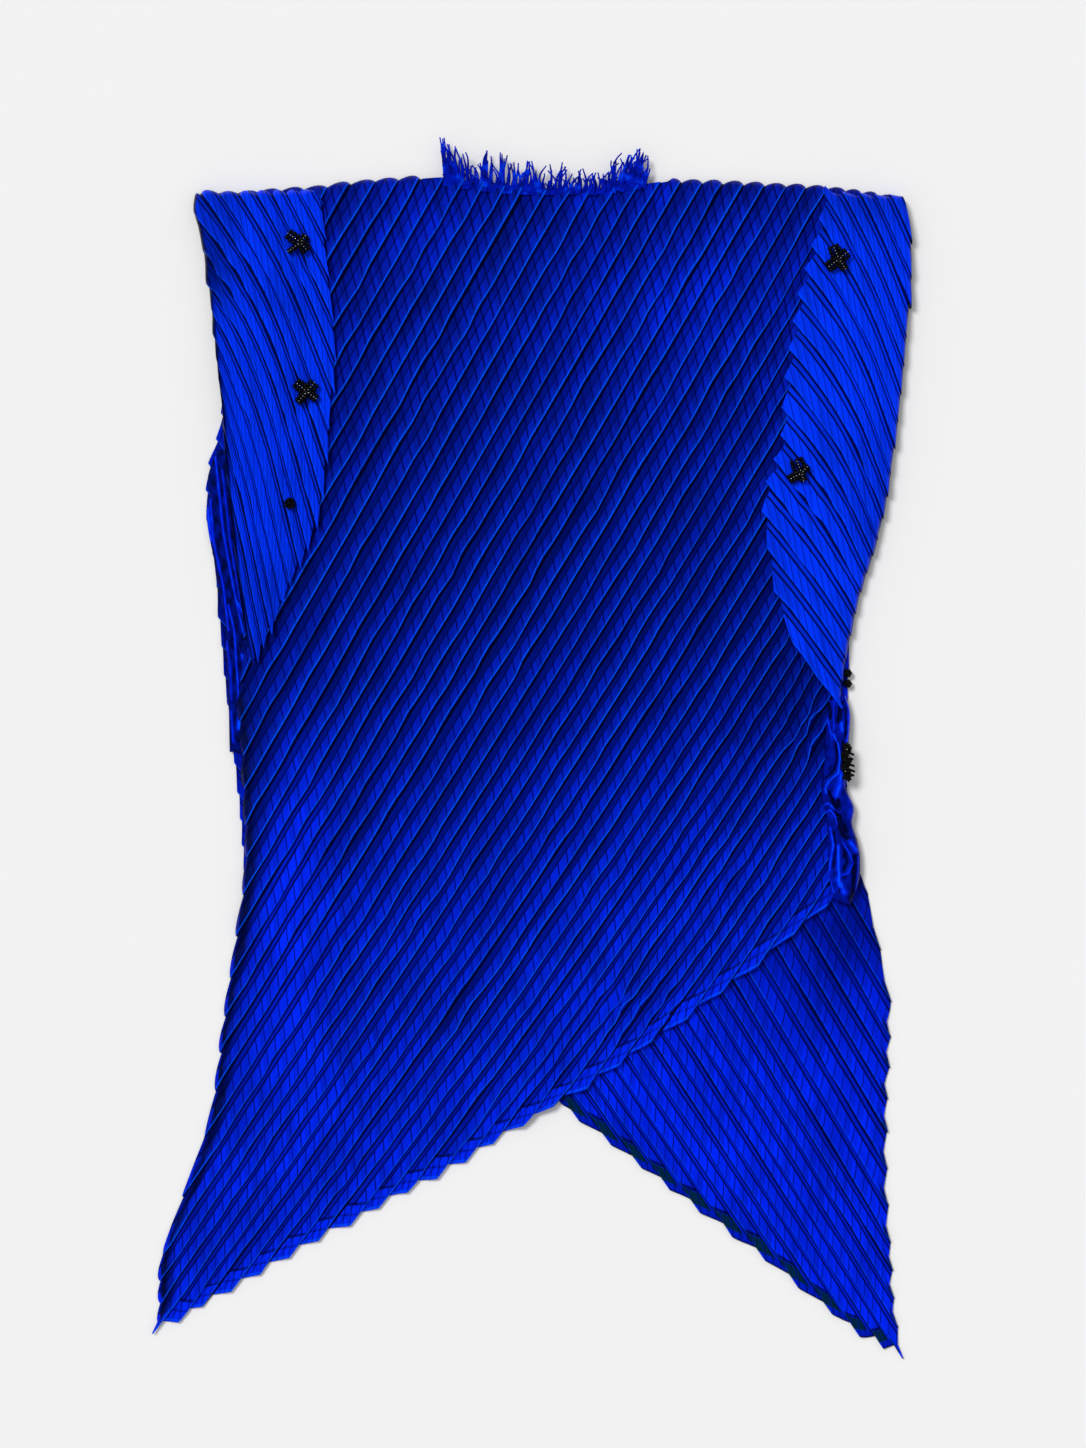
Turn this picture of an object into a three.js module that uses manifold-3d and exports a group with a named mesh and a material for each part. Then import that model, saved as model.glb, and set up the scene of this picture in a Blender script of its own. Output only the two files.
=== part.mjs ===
// Pleated top laid flat: a back and a front of diagonal knife pleats, and two short
// wide sleeves folded in over the front. Millimetres, +Z up. The origin is on the
// surface it lies on, at the middle of its outline, and +Y points to the neck.
import * as THREE from 'three';
import Module from 'manifold-3d';
import { mergeVertices } from 'three/addons/utils/BufferGeometryUtils.js';

// Layers, from the surface up
const WALL = 1.2;              // cloth at the foot of a pleat
const PLEAT_RISE = 2.2;        // fold of a pleat above its foot
const SEAM_GAP = 0.3;          // between pieces that lie on each other
const SLEEVE_WALL = 2.0;       // two layers of cloth pressed together
const BACK_BASE = 0;
const FRONT_BASE = BACK_BASE + WALL + PLEAT_RISE + SEAM_GAP;
const SLEEVE_BASE = FRONT_BASE + WALL + PLEAT_RISE + SEAM_GAP;
const SLEEVE_TOP = SLEEVE_BASE + SLEEVE_WALL + PLEAT_RISE;

// Pleats are pressed one way: the fold stands near one side of each pleat
const FOLD_NEAR_END = 0.8;     // fold's place across a pleat
const FOLD_NEAR_START = 0.2;
const PRESSED_END = 0.7;       // rise of a fold at a cut edge, as a share

// Teeth where folds reach past a cut edge
const HEM_TOOTH = 10;          // measured along the pleat
const SIDE_TOOTH = 4;
const SHOULDER_TOOTH = 3;
const NO_TOOTH = 0;

// Where the front leaves the back's hidden hem and comes down to the surface
const HIDDEN_HEM = { x: -186.6, y: -91.7, towardX: 15, towardY: -227.5 };
const DROP_START = 16;         // beyond that hem
const DROP_END = 44;

// The front's pleats flatten toward its tail
const FULL_RISE_ABOVE = 60;    // y
const TAIL_RISE_BELOW = -330;
const TAIL_RISE = 0.55;

// The side tuck's folds rise and fall along their length
const CRUMPLE_SHARE = 0.3;
const CRUMPLE_WAVE = 0.21;     // radians per mm

// Fringe of frayed threads along the neck
const FRINGE = {
  strands: 90,
  from: -58,
  to: 74,
  stripClearance: 0.4,
  stripWidth: 2.0,
  bottom: FRONT_BASE,
  height: 1.3,
  rootShare: 0.62,             // of the way from one thread to the next
  tipHeight: 0.5,
  shortest: 4,
  usual: 12,
  longest: 26,                 // in the tufts at both ends
  tuftShare: 0.13,             // of the strip's length
  lean: 0.18,                  // of a thread's length
  leanWave: 0.31,              // radians from thread to thread
  lift: 1.6,
  liftWave: 1.7,
  lengthWave: 2.4,
  slowLengthWave: 0.83,
};

// Beads, drilled and sewn through the cloth
const BEAD_HEIGHT = 3.4;
const RIM_SEAT = BACK_BASE + WALL + PLEAT_RISE - 0.8;       // between two folds at the back's rim
const TUCK_SEAT = SLEEVE_BASE + WALL + PLEAT_RISE - 0.2;    // between two folds of the tuck
const BEAD_AROUND = 8;
const BEAD_ALONG = 5;

// How finely edges and pleats are followed
const EDGE_STEP = 5;
const PLEAT_REACH = 900;
const PLEAT_STEP = 2;
const BRIDGED_NICK = 14;
const SHORTEST_PLEAT = 5;
const CORNER_STEP = 0.15;      // share of a pleat

const CLOTH_BLUE = '#0a2fe6';
const SLEEVE_BLUE = '#0c3af4';
const SHADE_BLUE = '#0522b4';
const THREAD_BLUE = '#1238d8';
const BEAD_BLACK = '#08080a';

// Edges of each panel, clockwise from its upper left corner
const FRONT_EDGES = [
  { name: 'left shoulder', tooth: SHOULDER_TOOTH, through: [
    { x: -215, y: 358 }, { x: -180, y: 361 }, { x: -139, y: 364 }, { x: -106, y: 368 }, { x: -72, y: 370 }] },
  { name: 'neck', tooth: NO_TOOTH, through: [
    { x: -72, y: 370 }, { x: -60, y: 370.5 }, { x: -21, y: 365 }, { x: 18, y: 362 }, { x: 57, y: 365 },
    { x: 90, y: 368 }] },
  { name: 'right shoulder', tooth: SHOULDER_TOOTH, through: [
    { x: 90, y: 368 }, { x: 140, y: 366 }, { x: 193, y: 363 }, { x: 236, y: 357 }] },
  { name: 'right side', tooth: NO_TOOTH, through: [
    { x: 236, y: 357 }, { x: 240, y: 310 }, { x: 236, y: 258 }, { x: 228, y: 193 }, { x: 216, y: 130 },
    { x: 205, y: 89 }, { x: 200, y: 37 }, { x: 198, y: -10 }, { x: 201, y: -70 }, { x: 199.6, y: -93 }] },
  { name: 'hem', tooth: HEM_TOOTH, through: [
    { x: 199.6, y: -94 }, { x: 135, y: -147 }, { x: 82, y: -186 }, { x: 15, y: -230 }, { x: -60, y: -274 },
    { x: -139, y: -317 }, { x: -216, y: -361 }, { x: -243, y: -375 }] },
  { name: 'tail side', tooth: SIDE_TOOTH, through: [
    { x: -243, y: -375 }, { x: -241, y: -330 }, { x: -227, y: -291 }, { x: -209, y: -236 },
    { x: -198, y: -158 }, { x: -187, y: -80 }, { x: -187, y: -41 }, { x: -192, y: 31 }] },
  { name: 'left side', tooth: NO_TOOTH, through: [
    { x: -192, y: 31 }, { x: -188, y: 60 }, { x: -192, y: 115 }, { x: -199.5, y: 226 }, { x: -207, y: 295 },
    { x: -212, y: 325 }, { x: -215, y: 358 }] },
];
const BACK_EDGES = [
  { name: 'left shoulder', tooth: NO_TOOTH, through: [
    { x: -215, y: 356 }, { x: -139, y: 362 }, { x: -62, y: 366 }] },
  { name: 'neck', tooth: NO_TOOTH, through: [
    { x: -62, y: 366 }, { x: 18, y: 358 }, { x: 77, y: 364 }] },
  { name: 'right shoulder', tooth: NO_TOOTH, through: [
    { x: 77, y: 364 }, { x: 150, y: 363 }, { x: 238, y: 356 }] },
  { name: 'right side', tooth: NO_TOOTH, through: [
    { x: 238, y: 356 }, { x: 242.5, y: 310 }, { x: 239, y: 258 }, { x: 231, y: 193 }, { x: 219, y: 130 },
    { x: 208, y: 89 }, { x: 205, y: 37 }, { x: 205, y: -35 }, { x: 209, y: -67 }] },
  { name: 'tail side', tooth: SIDE_TOOTH, through: [
    { x: 209, y: -67 }, { x: 216, y: -93 }, { x: 226, y: -138 }, { x: 231, y: -165 }, { x: 230, y: -197 },
    { x: 228, y: -236 }, { x: 229, y: -288 }, { x: 231, y: -327 }, { x: 234, y: -366 }, { x: 238.5, y: -391 }] },
  { name: 'hem', tooth: HEM_TOOTH, through: [
    { x: 238.5, y: -391 }, { x: 210, y: -377 }, { x: 145, y: -326 }, { x: 76, y: -275 }, { x: 15, y: -229 }] },
  { name: 'hidden hem', tooth: NO_TOOTH, through: [
    { x: 15, y: -229 }, { x: -99.5, y: -150.5 }, { x: -186.6, y: -91.7 }] },
  { name: 'left side', tooth: NO_TOOTH, through: [
    { x: -186.6, y: -91.7 }, { x: -191, y: -35 }, { x: -199, y: 31 }, { x: -207, y: 115 }, { x: -212, y: 151 },
    { x: -211, y: 176 }, { x: -202, y: 218 }, { x: -206, y: 275 }, { x: -211, y: 315 }, { x: -215, y: 356 }] },
];
const LEFT_SLEEVE_EDGES = [
  { name: 'shoulder fold', tooth: SHOULDER_TOOTH, through: [
    { x: -220, y: 360 }, { x: -190, y: 360 }, { x: -139, y: 361 }] },
  { name: 'opening', tooth: NO_TOOTH, through: [
    { x: -139, y: 361 }, { x: -135, y: 313 }, { x: -130, y: 262 }, { x: -134, y: 205 }, { x: -142, y: 148 },
    { x: -159, y: 108 }, { x: -183, y: 55 }] },
  { name: 'side fold', tooth: NO_TOOTH, through: [
    { x: -183, y: 55 }, { x: -188, y: 82 }, { x: -198, y: 161 }, { x: -203.5, y: 226 }, { x: -211, y: 300 },
    { x: -217, y: 335 }, { x: -221, y: 350 }, { x: -220, y: 360 }] },
];
const RIGHT_SLEEVE_EDGES = [
  { name: 'shoulder fold', tooth: SHOULDER_TOOTH, through: [
    { x: 192, y: 361 }, { x: 216, y: 359 }, { x: 241, y: 358 }] },
  { name: 'side fold', tooth: NO_TOOTH, through: [
    { x: 241, y: 358 }, { x: 245, y: 340 }, { x: 246.3, y: 310 }, { x: 243, y: 265 }, { x: 235, y: 193 },
    { x: 226, y: 141 }, { x: 213, y: 100 }, { x: 203, y: 53 }, { x: 200, y: 30 }] },
  { name: 'opening', tooth: NO_TOOTH, through: [
    { x: 200, y: 30 }, { x: 192, y: 30 }, { x: 173, y: 60 }, { x: 158, y: 110 }, { x: 153, y: 159 },
    { x: 164, y: 196 }, { x: 168, y: 240 }, { x: 177, y: 294 }, { x: 187, y: 331 }, { x: 192, y: 361 }] },
];
const SIDE_TUCK_EDGES = [
  { name: 'upper end', tooth: NO_TOOTH, through: [{ x: 188, y: 25 }, { x: 201, y: 25 }] },
  { name: 'outer side', tooth: NO_TOOTH, through: [
    { x: 201, y: 25 }, { x: 206.5, y: 4 }, { x: 204.5, y: -28 }, { x: 211, y: -53 }, { x: 208, y: -79 },
    { x: 203, y: -98 }] },
  { name: 'lower end', tooth: NO_TOOTH, through: [{ x: 203, y: -98 }, { x: 194, y: -94 }] },
  { name: 'inner side', tooth: NO_TOOTH, through: [
    { x: 194, y: -94 }, { x: 187, y: -63 }, { x: 190, y: -31 }, { x: 183, y: -2 }, { x: 188, y: 25 }] },
];

// Pleats of each panel, counted along its spine. Angle is from +X, bend per 100 mm
const FRONT_PLEATS = {
  spine: { fromX: -219.7, fromY: 365.3, toX: 199.6, toY: -93 },
  foldAt: FOLD_NEAR_END,
  rows: [
    { pleat: 0, along: 0, angle: 61, bend: 0 },
    { pleat: 9.5, along: 0.2, angle: 60, bend: 0 },
    { pleat: 19, along: 0.4, angle: 60, bend: 0 },
    { pleat: 29.2, along: 0.6, angle: 58.5, bend: 0.5 },
    { pleat: 40.5, along: 0.8, angle: 57.3, bend: 1.3 },
    { pleat: 54, along: 1, angle: 57.5, bend: 2.4 },
  ],
};
const BACK_PLEATS = {
  spine: { fromX: 243, fromY: 361, toX: -190, toY: -93 },
  foldAt: FOLD_NEAR_END,
  rows: [
    { pleat: 0, along: 0, angle: 118, bend: 0 },
    { pleat: 19, along: 0.4, angle: 120.5, bend: 0 },
    { pleat: 29.2, along: 0.6, angle: 121, bend: 0 },
    { pleat: 40.5, along: 0.8, angle: 124.5, bend: 0 },
    { pleat: 54, along: 1, angle: 128.5, bend: 0 },
  ],
};
const LEFT_SLEEVE_PLEATS = {
  spine: { fromX: -186.5, fromY: 62, toX: -139.5, toY: 359 },
  foldAt: FOLD_NEAR_START,
  rows: [
    { pleat: 0, along: 0, angle: 104, bend: 0 },
    { pleat: 5, along: 0.3, angle: 110, bend: 1.5 },
    { pleat: 10, along: 0.58, angle: 117, bend: 2 },
    { pleat: 18, along: 1, angle: 125, bend: 2 },
  ],
};
const RIGHT_SLEEVE_PLEATS = {
  spine: { fromX: 196, fromY: 30, toX: 243, toY: 357 },
  foldAt: FOLD_NEAR_START,
  rows: [
    { pleat: 0, along: 0, angle: 131, bend: 0 },
    { pleat: 7, along: 0.35, angle: 124, bend: 0 },
    { pleat: 14, along: 0.7, angle: 119, bend: 0 },
    { pleat: 20, along: 1, angle: 115, bend: 0 },
  ],
};
const SIDE_TUCK_PLEATS = {
  spine: { fromX: 184, fromY: -42, toX: 210, toY: -30 },
  foldAt: 0.5,
  rows: [
    { pleat: 0, along: 0, angle: 86, bend: 0 },
    { pleat: 2, along: 0.5, angle: 92, bend: 0 },
    { pleat: 4, along: 1, angle: 96, bend: 0 },
  ],
};

// Beads of each ornament, about its centre. Turn is the bead's long axis from +X
const ORNAMENTS = [
  { name: 'bead_cross_left_top', x: -152.8, y: 327.6, bottom: SLEEVE_TOP + SEAM_GAP, beads: [
    { dx: 0, dy: 0, length: 7, width: 7, turn: 0 },
    { dx: -5.4, dy: 4.7, length: 10.6, width: 5.4, turn: 139 },
    { dx: 4.9, dy: -5.2, length: 10.6, width: 5.2, turn: -47 },
    { dx: -5.2, dy: -4.6, length: 10.4, width: 5, turn: 41 },
    { dx: 2.6, dy: 8.6, length: 16, width: 3.6, turn: 74 }] },
  { name: 'bead_cross_left_mid', x: -147.2, y: 230, bottom: SLEEVE_TOP + SEAM_GAP, beads: [
    { dx: 0, dy: 0, length: 6.6, width: 6.6, turn: 0 },
    { dx: -5.4, dy: 4.9, length: 10.6, width: 5.6, turn: 138 },
    { dx: 5.2, dy: 4.8, length: 10.6, width: 5.6, turn: 42 },
    { dx: -4.7, dy: -5.1, length: 10.4, width: 5, turn: 47 },
    { dx: 5, dy: -4.3, length: 10.4, width: 5.2, turn: -40 }] },
  { name: 'bead_left_low', x: -157.4, y: 158, bottom: SLEEVE_TOP + SEAM_GAP, beads: [
    { dx: 0, dy: 0, length: 8.4, width: 8, turn: 20 }] },
  { name: 'bead_cross_right_top', x: 198, y: 315, bottom: SLEEVE_TOP + SEAM_GAP, beads: [
    { dx: 0, dy: 0, length: 7, width: 7, turn: 0 },
    { dx: -2.6, dy: 7.2, length: 12.6, width: 5.4, turn: 110 },
    { dx: 5.6, dy: 4.4, length: 11, width: 5.4, turn: 38 },
    { dx: -5.4, dy: -4.7, length: 11, width: 5.4, turn: 41 },
    { dx: 4.2, dy: -6, length: 12.4, width: 5, turn: -55 }] },
  { name: 'bead_cross_right_mid', x: 172.5, y: 180, bottom: SLEEVE_TOP + SEAM_GAP, beads: [
    { dx: 0, dy: 0, length: 9, width: 8, turn: 0 },
    { dx: 1, dy: 6, length: 9.6, width: 7, turn: 80 },
    { dx: -5.6, dy: -2.5, length: 10, width: 5.6, turn: 24 },
    { dx: 3.2, dy: -4.6, length: 9, width: 5.2, turn: -60 }] },
  { name: 'bead_right_side_upper', x: 205.8, y: 45, bottom: RIM_SEAT, beads: [
    { dx: 0, dy: 2.6, length: 7, width: 4.2, turn: 80 },
    { dx: 0.4, dy: -2.6, length: 7, width: 4.4, turn: 100 }] },
  { name: 'bead_right_side_lower', x: 205.5, y: -10, bottom: TUCK_SEAT, beads: [
    { dx: 0, dy: 0, length: 12, width: 5.4, turn: 84 },
    { dx: 0.8, dy: 7.6, length: 9, width: 3.6, turn: 60 },
    { dx: 2, dy: 3.4, length: 8, width: 3.2, turn: 20 },
    { dx: 2, dy: -2.4, length: 8, width: 3.2, turn: -14 },
    { dx: 0.8, dy: -7.6, length: 9, width: 3.6, turn: -62 }] },
];

const radians = THREE.MathUtils.degToRad;
const { lerp, smoothstep } = THREE.MathUtils;

// A row's values between the rows of a table, by one of its columns
function readTable(rows, column, value) {
  const last = rows.length - 1;
  const after = rows.findIndex((row, i) => i > 0 && (row[column] >= value || i === last));
  const low = rows[after - 1];
  const high = rows[after];
  const share = (value - low[column]) / (high[column] - low[column]);
  const mixed = {};
  for (const name of Object.keys(low)) mixed[name] = lerp(low[name], high[name], share);
  return mixed;
}

// A panel's edges as short straight steps, each knowing its tooth
function outlineSteps(edges) {
  const steps = [];
  for (const edge of edges) {
    const points = edge.through.map((p) => new THREE.Vector3(p.x, p.y, 0));
    const curve = new THREE.CatmullRomCurve3(points, false, 'centripetal');
    const count = Math.max(1, Math.round(curve.getLength() / EDGE_STEP));
    const along = curve.getPoints(count);
    for (let i = 0; i < count; i += 1) steps.push({ from: along[i], to: along[i + 1], tooth: edge.tooth });
  }
  return steps;
}

function isInside(steps, x, y) {
  let inside = false;
  for (const { from, to } of steps) {
    if ((from.y > y) === (to.y > y)) continue;
    const crossing = from.x + ((to.x - from.x) * (y - from.y)) / (to.y - from.y);
    if (x < crossing) inside = !inside;
  }
  return inside;
}

// A pleat's line over the plan, as a shallow arc through its place on the spine
function pleatLine(pleats, pleat) {
  const row = readTable(pleats.rows, 'pleat', pleat);
  const { spine } = pleats;
  const x = lerp(spine.fromX, spine.toX, row.along);
  const y = lerp(spine.fromY, spine.toY, row.along);
  const angle = radians(row.angle);
  const curvature = radians(row.bend) / 100;
  return (t) => {
    const aside = 0.5 * curvature * t * t;
    return {
      x: x + t * Math.cos(angle) - aside * Math.sin(angle),
      y: y + t * Math.sin(angle) + aside * Math.cos(angle),
    };
  };
}

// Both ends of a pleat's longest stretch inside the outline
function stretchInside(steps, line) {
  const inside = (t) => {
    const p = line(t);
    return isInside(steps, p.x, p.y);
  };
  const runs = [];
  for (let t = -PLEAT_REACH; t <= PLEAT_REACH; t += PLEAT_STEP) {
    if (!inside(t)) continue;
    const run = runs.at(-1);
    if (run && t - run.high <= BRIDGED_NICK) run.high = t;
    else runs.push({ low: t, high: t });
  }
  if (runs.length === 0) return null;
  const run = runs.reduce((a, b) => (b.high - b.low > a.high - a.low ? b : a));
  const settle = (insideAt, outsideAt) => {
    let near = insideAt;
    let far = outsideAt;
    for (let i = 0; i < 24; i += 1) {
      const middle = (near + far) / 2;
      if (inside(middle)) near = middle;
      else far = middle;
    }
    return near;
  };
  return { low: settle(run.low, run.low - PLEAT_STEP), high: settle(run.high, run.high + PLEAT_STEP) };
}

function toothAt(steps, p) {
  const distance = ({ from, to }) => Math.hypot((from.x + to.x) / 2 - p.x, (from.y + to.y) / 2 - p.y);
  return steps.reduce((a, b) => (distance(b) < distance(a) ? b : a)).tooth;
}

// Distance past the back's hidden hem, where the front comes down to the surface
function pastHiddenHem(x, y) {
  const hem = new THREE.Vector2(HIDDEN_HEM.towardX - HIDDEN_HEM.x, HIDDEN_HEM.towardY - HIDDEN_HEM.y);
  hem.normalize();
  return (x - HIDDEN_HEM.x) * hem.y - (y - HIDDEN_HEM.y) * hem.x;
}

// Places of a pleat's sections, with one at each end of the drop where it crosses that
function sectionPlaces(line, low, high, count, drops) {
  const even = Array.from({ length: count }, (_, i) => lerp(low, high, i / (count - 1)));
  if (!drops) return even;
  const past = (t) => pastHiddenHem(line(t).x, line(t).y);
  if (past(low) <= DROP_START || past(high) >= DROP_START) return even;
  const placeOf = (distance) => {
    let near = low;
    let far = high;
    for (let i = 0; i < 24; i += 1) {
      const middle = (near + far) / 2;
      if (past(middle) > distance) near = middle;
      else far = middle;
    }
    return near;
  };
  const start = placeOf(DROP_START);
  const end = Math.max(placeOf(DROP_END), lerp(low, start, 0.4));
  const beyond = Array.from({ length: count - 3 }, (_, i) => lerp(start, high, (i + 1) / (count - 3)));
  return [low, end, start, ...beyond];
}

// A pleated panel: a flat underside and an upper side folded along every pleat
function pleatedPanel({ edges, pleats, base, wall, sections, riseAt, baseAt }) {
  const steps = outlineSteps(edges);
  const lines = foldsAcross(steps, pleats).map(({ place, fold }) => {
    const line = pleatLine(pleats, place);
    const stretch = stretchInside(steps, line);
    const low = stretch.low - (fold ? toothAt(steps, line(stretch.low)) : 0);
    const high = stretch.high + (fold ? toothAt(steps, line(stretch.high)) : 0);
    return sectionPlaces(line, low, high, sections, Boolean(baseAt)).map((t, i) => {
      const p = line(t);
      const pressed = i === 0 || i === sections - 1 ? PRESSED_END : 1;
      const bottom = baseAt ? baseAt(p.x, p.y) : base;
      const rise = fold ? PLEAT_RISE * pressed * (riseAt ? riseAt(p.x, p.y) : 1) : 0;
      return { x: p.x, y: p.y, bottom, top: bottom + wall + rise };
    });
  });
  return wallGeometry(lines);
}

// Places of a panel's folds and feet, with a last foot in each corner past them
function foldsAcross(steps, pleats) {
  const lastPleat = pleats.rows.at(-1).pleat;
  const isLong = (place) => {
    const stretch = stretchInside(steps, pleatLine(pleats, place));
    return Boolean(stretch) && stretch.high - stretch.low >= SHORTEST_PLEAT;
  };
  const folds = [];
  for (let pleat = 0; pleat <= lastPleat; pleat += 1) {
    folds.push({ place: pleat, fold: false });
    if (pleat < lastPleat) folds.push({ place: pleat + pleats.foldAt, fold: true });
  }
  const kept = folds.filter(({ place }) => isLong(place));
  const cornerPast = (place, end) => {
    let near = place;
    let far = end;
    for (let i = 0; i < 12; i += 1) {
      const middle = (near + far) / 2;
      if (isLong(middle)) near = middle;
      else far = middle;
    }
    return near;
  };
  const first = cornerPast(kept[0].place, 0);
  const last = cornerPast(kept.at(-1).place, lastPleat);
  if (kept[0].place - first > CORNER_STEP) kept.unshift({ place: first, fold: false });
  if (last - kept.at(-1).place > CORNER_STEP) kept.push({ place: last, fold: false });
  return kept;
}

// A closed wall from a grid of points, each with a bottom and a top
function wallGeometry(lines) {
  const rows = lines.length;
  const columns = lines[0].length;
  const positions = [];
  for (const side of ['top', 'bottom']) {
    for (const line of lines) for (const p of line) positions.push(p.x, p.y, p[side]);
  }
  const top = (j, i) => j * columns + i;
  const bottom = (j, i) => rows * columns + j * columns + i;
  const index = [];
  const quad = (a, b, c, d) => index.push(a, b, c, a, c, d);
  for (let j = 0; j < rows - 1; j += 1) {
    for (let i = 0; i < columns - 1; i += 1) {
      quad(top(j, i), top(j + 1, i), top(j + 1, i + 1), top(j, i + 1));
      quad(bottom(j, i), bottom(j, i + 1), bottom(j + 1, i + 1), bottom(j + 1, i));
    }
    quad(top(j, 0), bottom(j, 0), bottom(j + 1, 0), top(j + 1, 0));
    quad(top(j + 1, columns - 1), bottom(j + 1, columns - 1), bottom(j, columns - 1), top(j, columns - 1));
  }
  for (let i = 0; i < columns - 1; i += 1) {
    quad(top(0, i + 1), bottom(0, i + 1), bottom(0, i), top(0, i));
    quad(top(rows - 1, i), bottom(rows - 1, i), bottom(rows - 1, i + 1), top(rows - 1, i + 1));
  }
  return facingOut(positions, index);
}

// Turns a closed shell outward by the sign of its volume
function facingOut(positions, index) {
  const at = (i) => new THREE.Vector3().fromArray(positions, 3 * i);
  let volume = 0;
  for (let i = 0; i < index.length; i += 3) {
    volume += at(index[i]).dot(at(index[i + 1]).cross(at(index[i + 2])));
  }
  if (volume < 0) index.reverse();
  const geometry = new THREE.BufferGeometry();
  geometry.setAttribute('position', new THREE.Float32BufferAttribute(positions, 3));
  geometry.setIndex(index);
  geometry.computeVertexNormals();
  return geometry;
}

// Frayed threads on a narrow strip along the neck: longest in tufts at both ends
function fringeGeometry() {
  const neck = FRONT_EDGES.find((edge) => edge.name === 'neck');
  const curve = new THREE.CatmullRomCurve3(
    neck.through.map((p) => new THREE.Vector3(p.x, p.y, 0)), false, 'centripetal');
  const samples = curve.getPoints(200).map((p) => ({ x: p.x, y: p.y }));
  const neckHeight = (x) => readTable(samples, 'x', x).y;
  const positions = [];
  const pitch = (FRINGE.to - FRINGE.from) / FRINGE.strands;
  const add = (x, y, z) => positions.push(x, y, z) / 3 - 1;
  const pair = (x, y) => ({
    low: add(x, y, FRINGE.bottom),
    high: add(x, y, FRINGE.bottom + FRINGE.height),
  });
  const inner = [];
  const left = [];
  const right = [];
  const tip = [];
  const gapShare = (1 - FRINGE.rootShare) / 2;
  const outerY = (x) => neckHeight(x) + FRINGE.stripClearance + FRINGE.stripWidth;
  for (let i = 0; i <= FRINGE.strands; i += 1) {
    const x = FRINGE.from + i * pitch;
    inner.push(pair(x, neckHeight(x) + FRINGE.stripClearance));
    if (i === FRINGE.strands) break;
    const place = i / (FRINGE.strands - 1);
    const leftX = x + gapShare * pitch;
    const rightX = x + (1 - gapShare) * pitch;
    left.push(pair(leftX, outerY(leftX)));
    right.push(pair(rightX, outerY(rightX)));
    const fromEnd = Math.min(place, 1 - place);
    const tuft = 1 - smoothstep(fromEnd, 0, FRINGE.tuftShare);
    const uneven = 0.5 + 0.5 * Math.sin(i * FRINGE.lengthWave) * Math.cos(i * FRINGE.slowLengthWave);
    const length = lerp(FRINGE.shortest, FRINGE.usual, uneven) + tuft * (FRINGE.longest - FRINGE.usual);
    const lean = FRINGE.lean * Math.sin(i * FRINGE.leanWave) * length;
    const lift = FRINGE.lift * Math.sin(i * FRINGE.liftWave);
    const tipX = (leftX + rightX) / 2 + lean;
    const tipY = outerY(x) + length;
    const tipZ = FRINGE.bottom + FRINGE.height / 2 + lift;
    tip.push({
      low: add(tipX, tipY, tipZ - FRINGE.tipHeight / 2),
      high: add(tipX, tipY, tipZ + FRINGE.tipHeight / 2),
    });
  }
  const index = [];
  const quad = (a, b, c, d) => index.push(a, b, c, a, c, d);
  const face = (a, b, c) => {
    index.push(a.high, b.high, c.high);
    index.push(a.low, c.low, b.low);
  };
  for (let i = 0; i < FRINGE.strands; i += 1) {
    face(inner[i], inner[i + 1], left[i]);
    face(left[i], inner[i + 1], right[i]);
    face(left[i], right[i], tip[i]);
    quad(inner[i].low, inner[i + 1].low, inner[i + 1].high, inner[i].high);
    quad(left[i].high, tip[i].high, tip[i].low, left[i].low);
    quad(tip[i].high, right[i].high, right[i].low, tip[i].low);
    if (i === FRINGE.strands - 1) continue;
    face(right[i], inner[i + 1], left[i + 1]);
    quad(right[i].high, left[i + 1].high, left[i + 1].low, right[i].low);
  }
  const end = FRINGE.strands - 1;
  quad(left[0].high, left[0].low, inner[0].low, inner[0].high);
  quad(inner[end + 1].high, inner[end + 1].low, right[end].low, right[end].high);
  return facingOut(positions, index);
}

const wasm = await Module();
wasm.setup();

// Long beads joined where they meet, as one drilled cluster
function beadCluster({ x, y, bottom, beads }) {
  const solids = beads.map((bead) => {
    const ball = new THREE.SphereGeometry(1, BEAD_AROUND, BEAD_ALONG);
    ball.scale(bead.width / 2, bead.length / 2, BEAD_HEIGHT / 2);
    ball.rotateZ(radians(bead.turn - 90));
    ball.translate(x + bead.dx, y + bead.dy, bottom + BEAD_HEIGHT / 2);
    ball.deleteAttribute('normal');
    ball.deleteAttribute('uv');
    const merged = mergeVertices(ball, 1e-4);
    return new wasm.Manifold(new wasm.Mesh({
      numProp: 3,
      vertProperties: merged.attributes.position.array,
      triVerts: new Uint32Array(merged.index.array),
    }));
  });
  const joined = solids.reduce((a, b) => a.add(b)).getMesh();
  return facingOut(Array.from(joined.vertProperties), Array.from(joined.triVerts));
}

const top = new THREE.Group();

function addPiece(name, geometry, color, roughness) {
  const material = new THREE.MeshStandardMaterial({ color, roughness, metalness: 0 });
  const mesh = new THREE.Mesh(geometry, material);
  mesh.name = name;
  top.add(mesh);
}

const tailRise = (x, y) => lerp(TAIL_RISE, 1, smoothstep(y, TAIL_RISE_BELOW, FULL_RISE_ABOVE));
const crumpledRise = (x, y) => 1 - CRUMPLE_SHARE * (1 + Math.sin(CRUMPLE_WAVE * (y + x)));
const frontBase = (x, y) => FRONT_BASE * (1 - THREE.MathUtils.clamp(
  (pastHiddenHem(x, y) - DROP_START) / (DROP_END - DROP_START), 0, 1));

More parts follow.
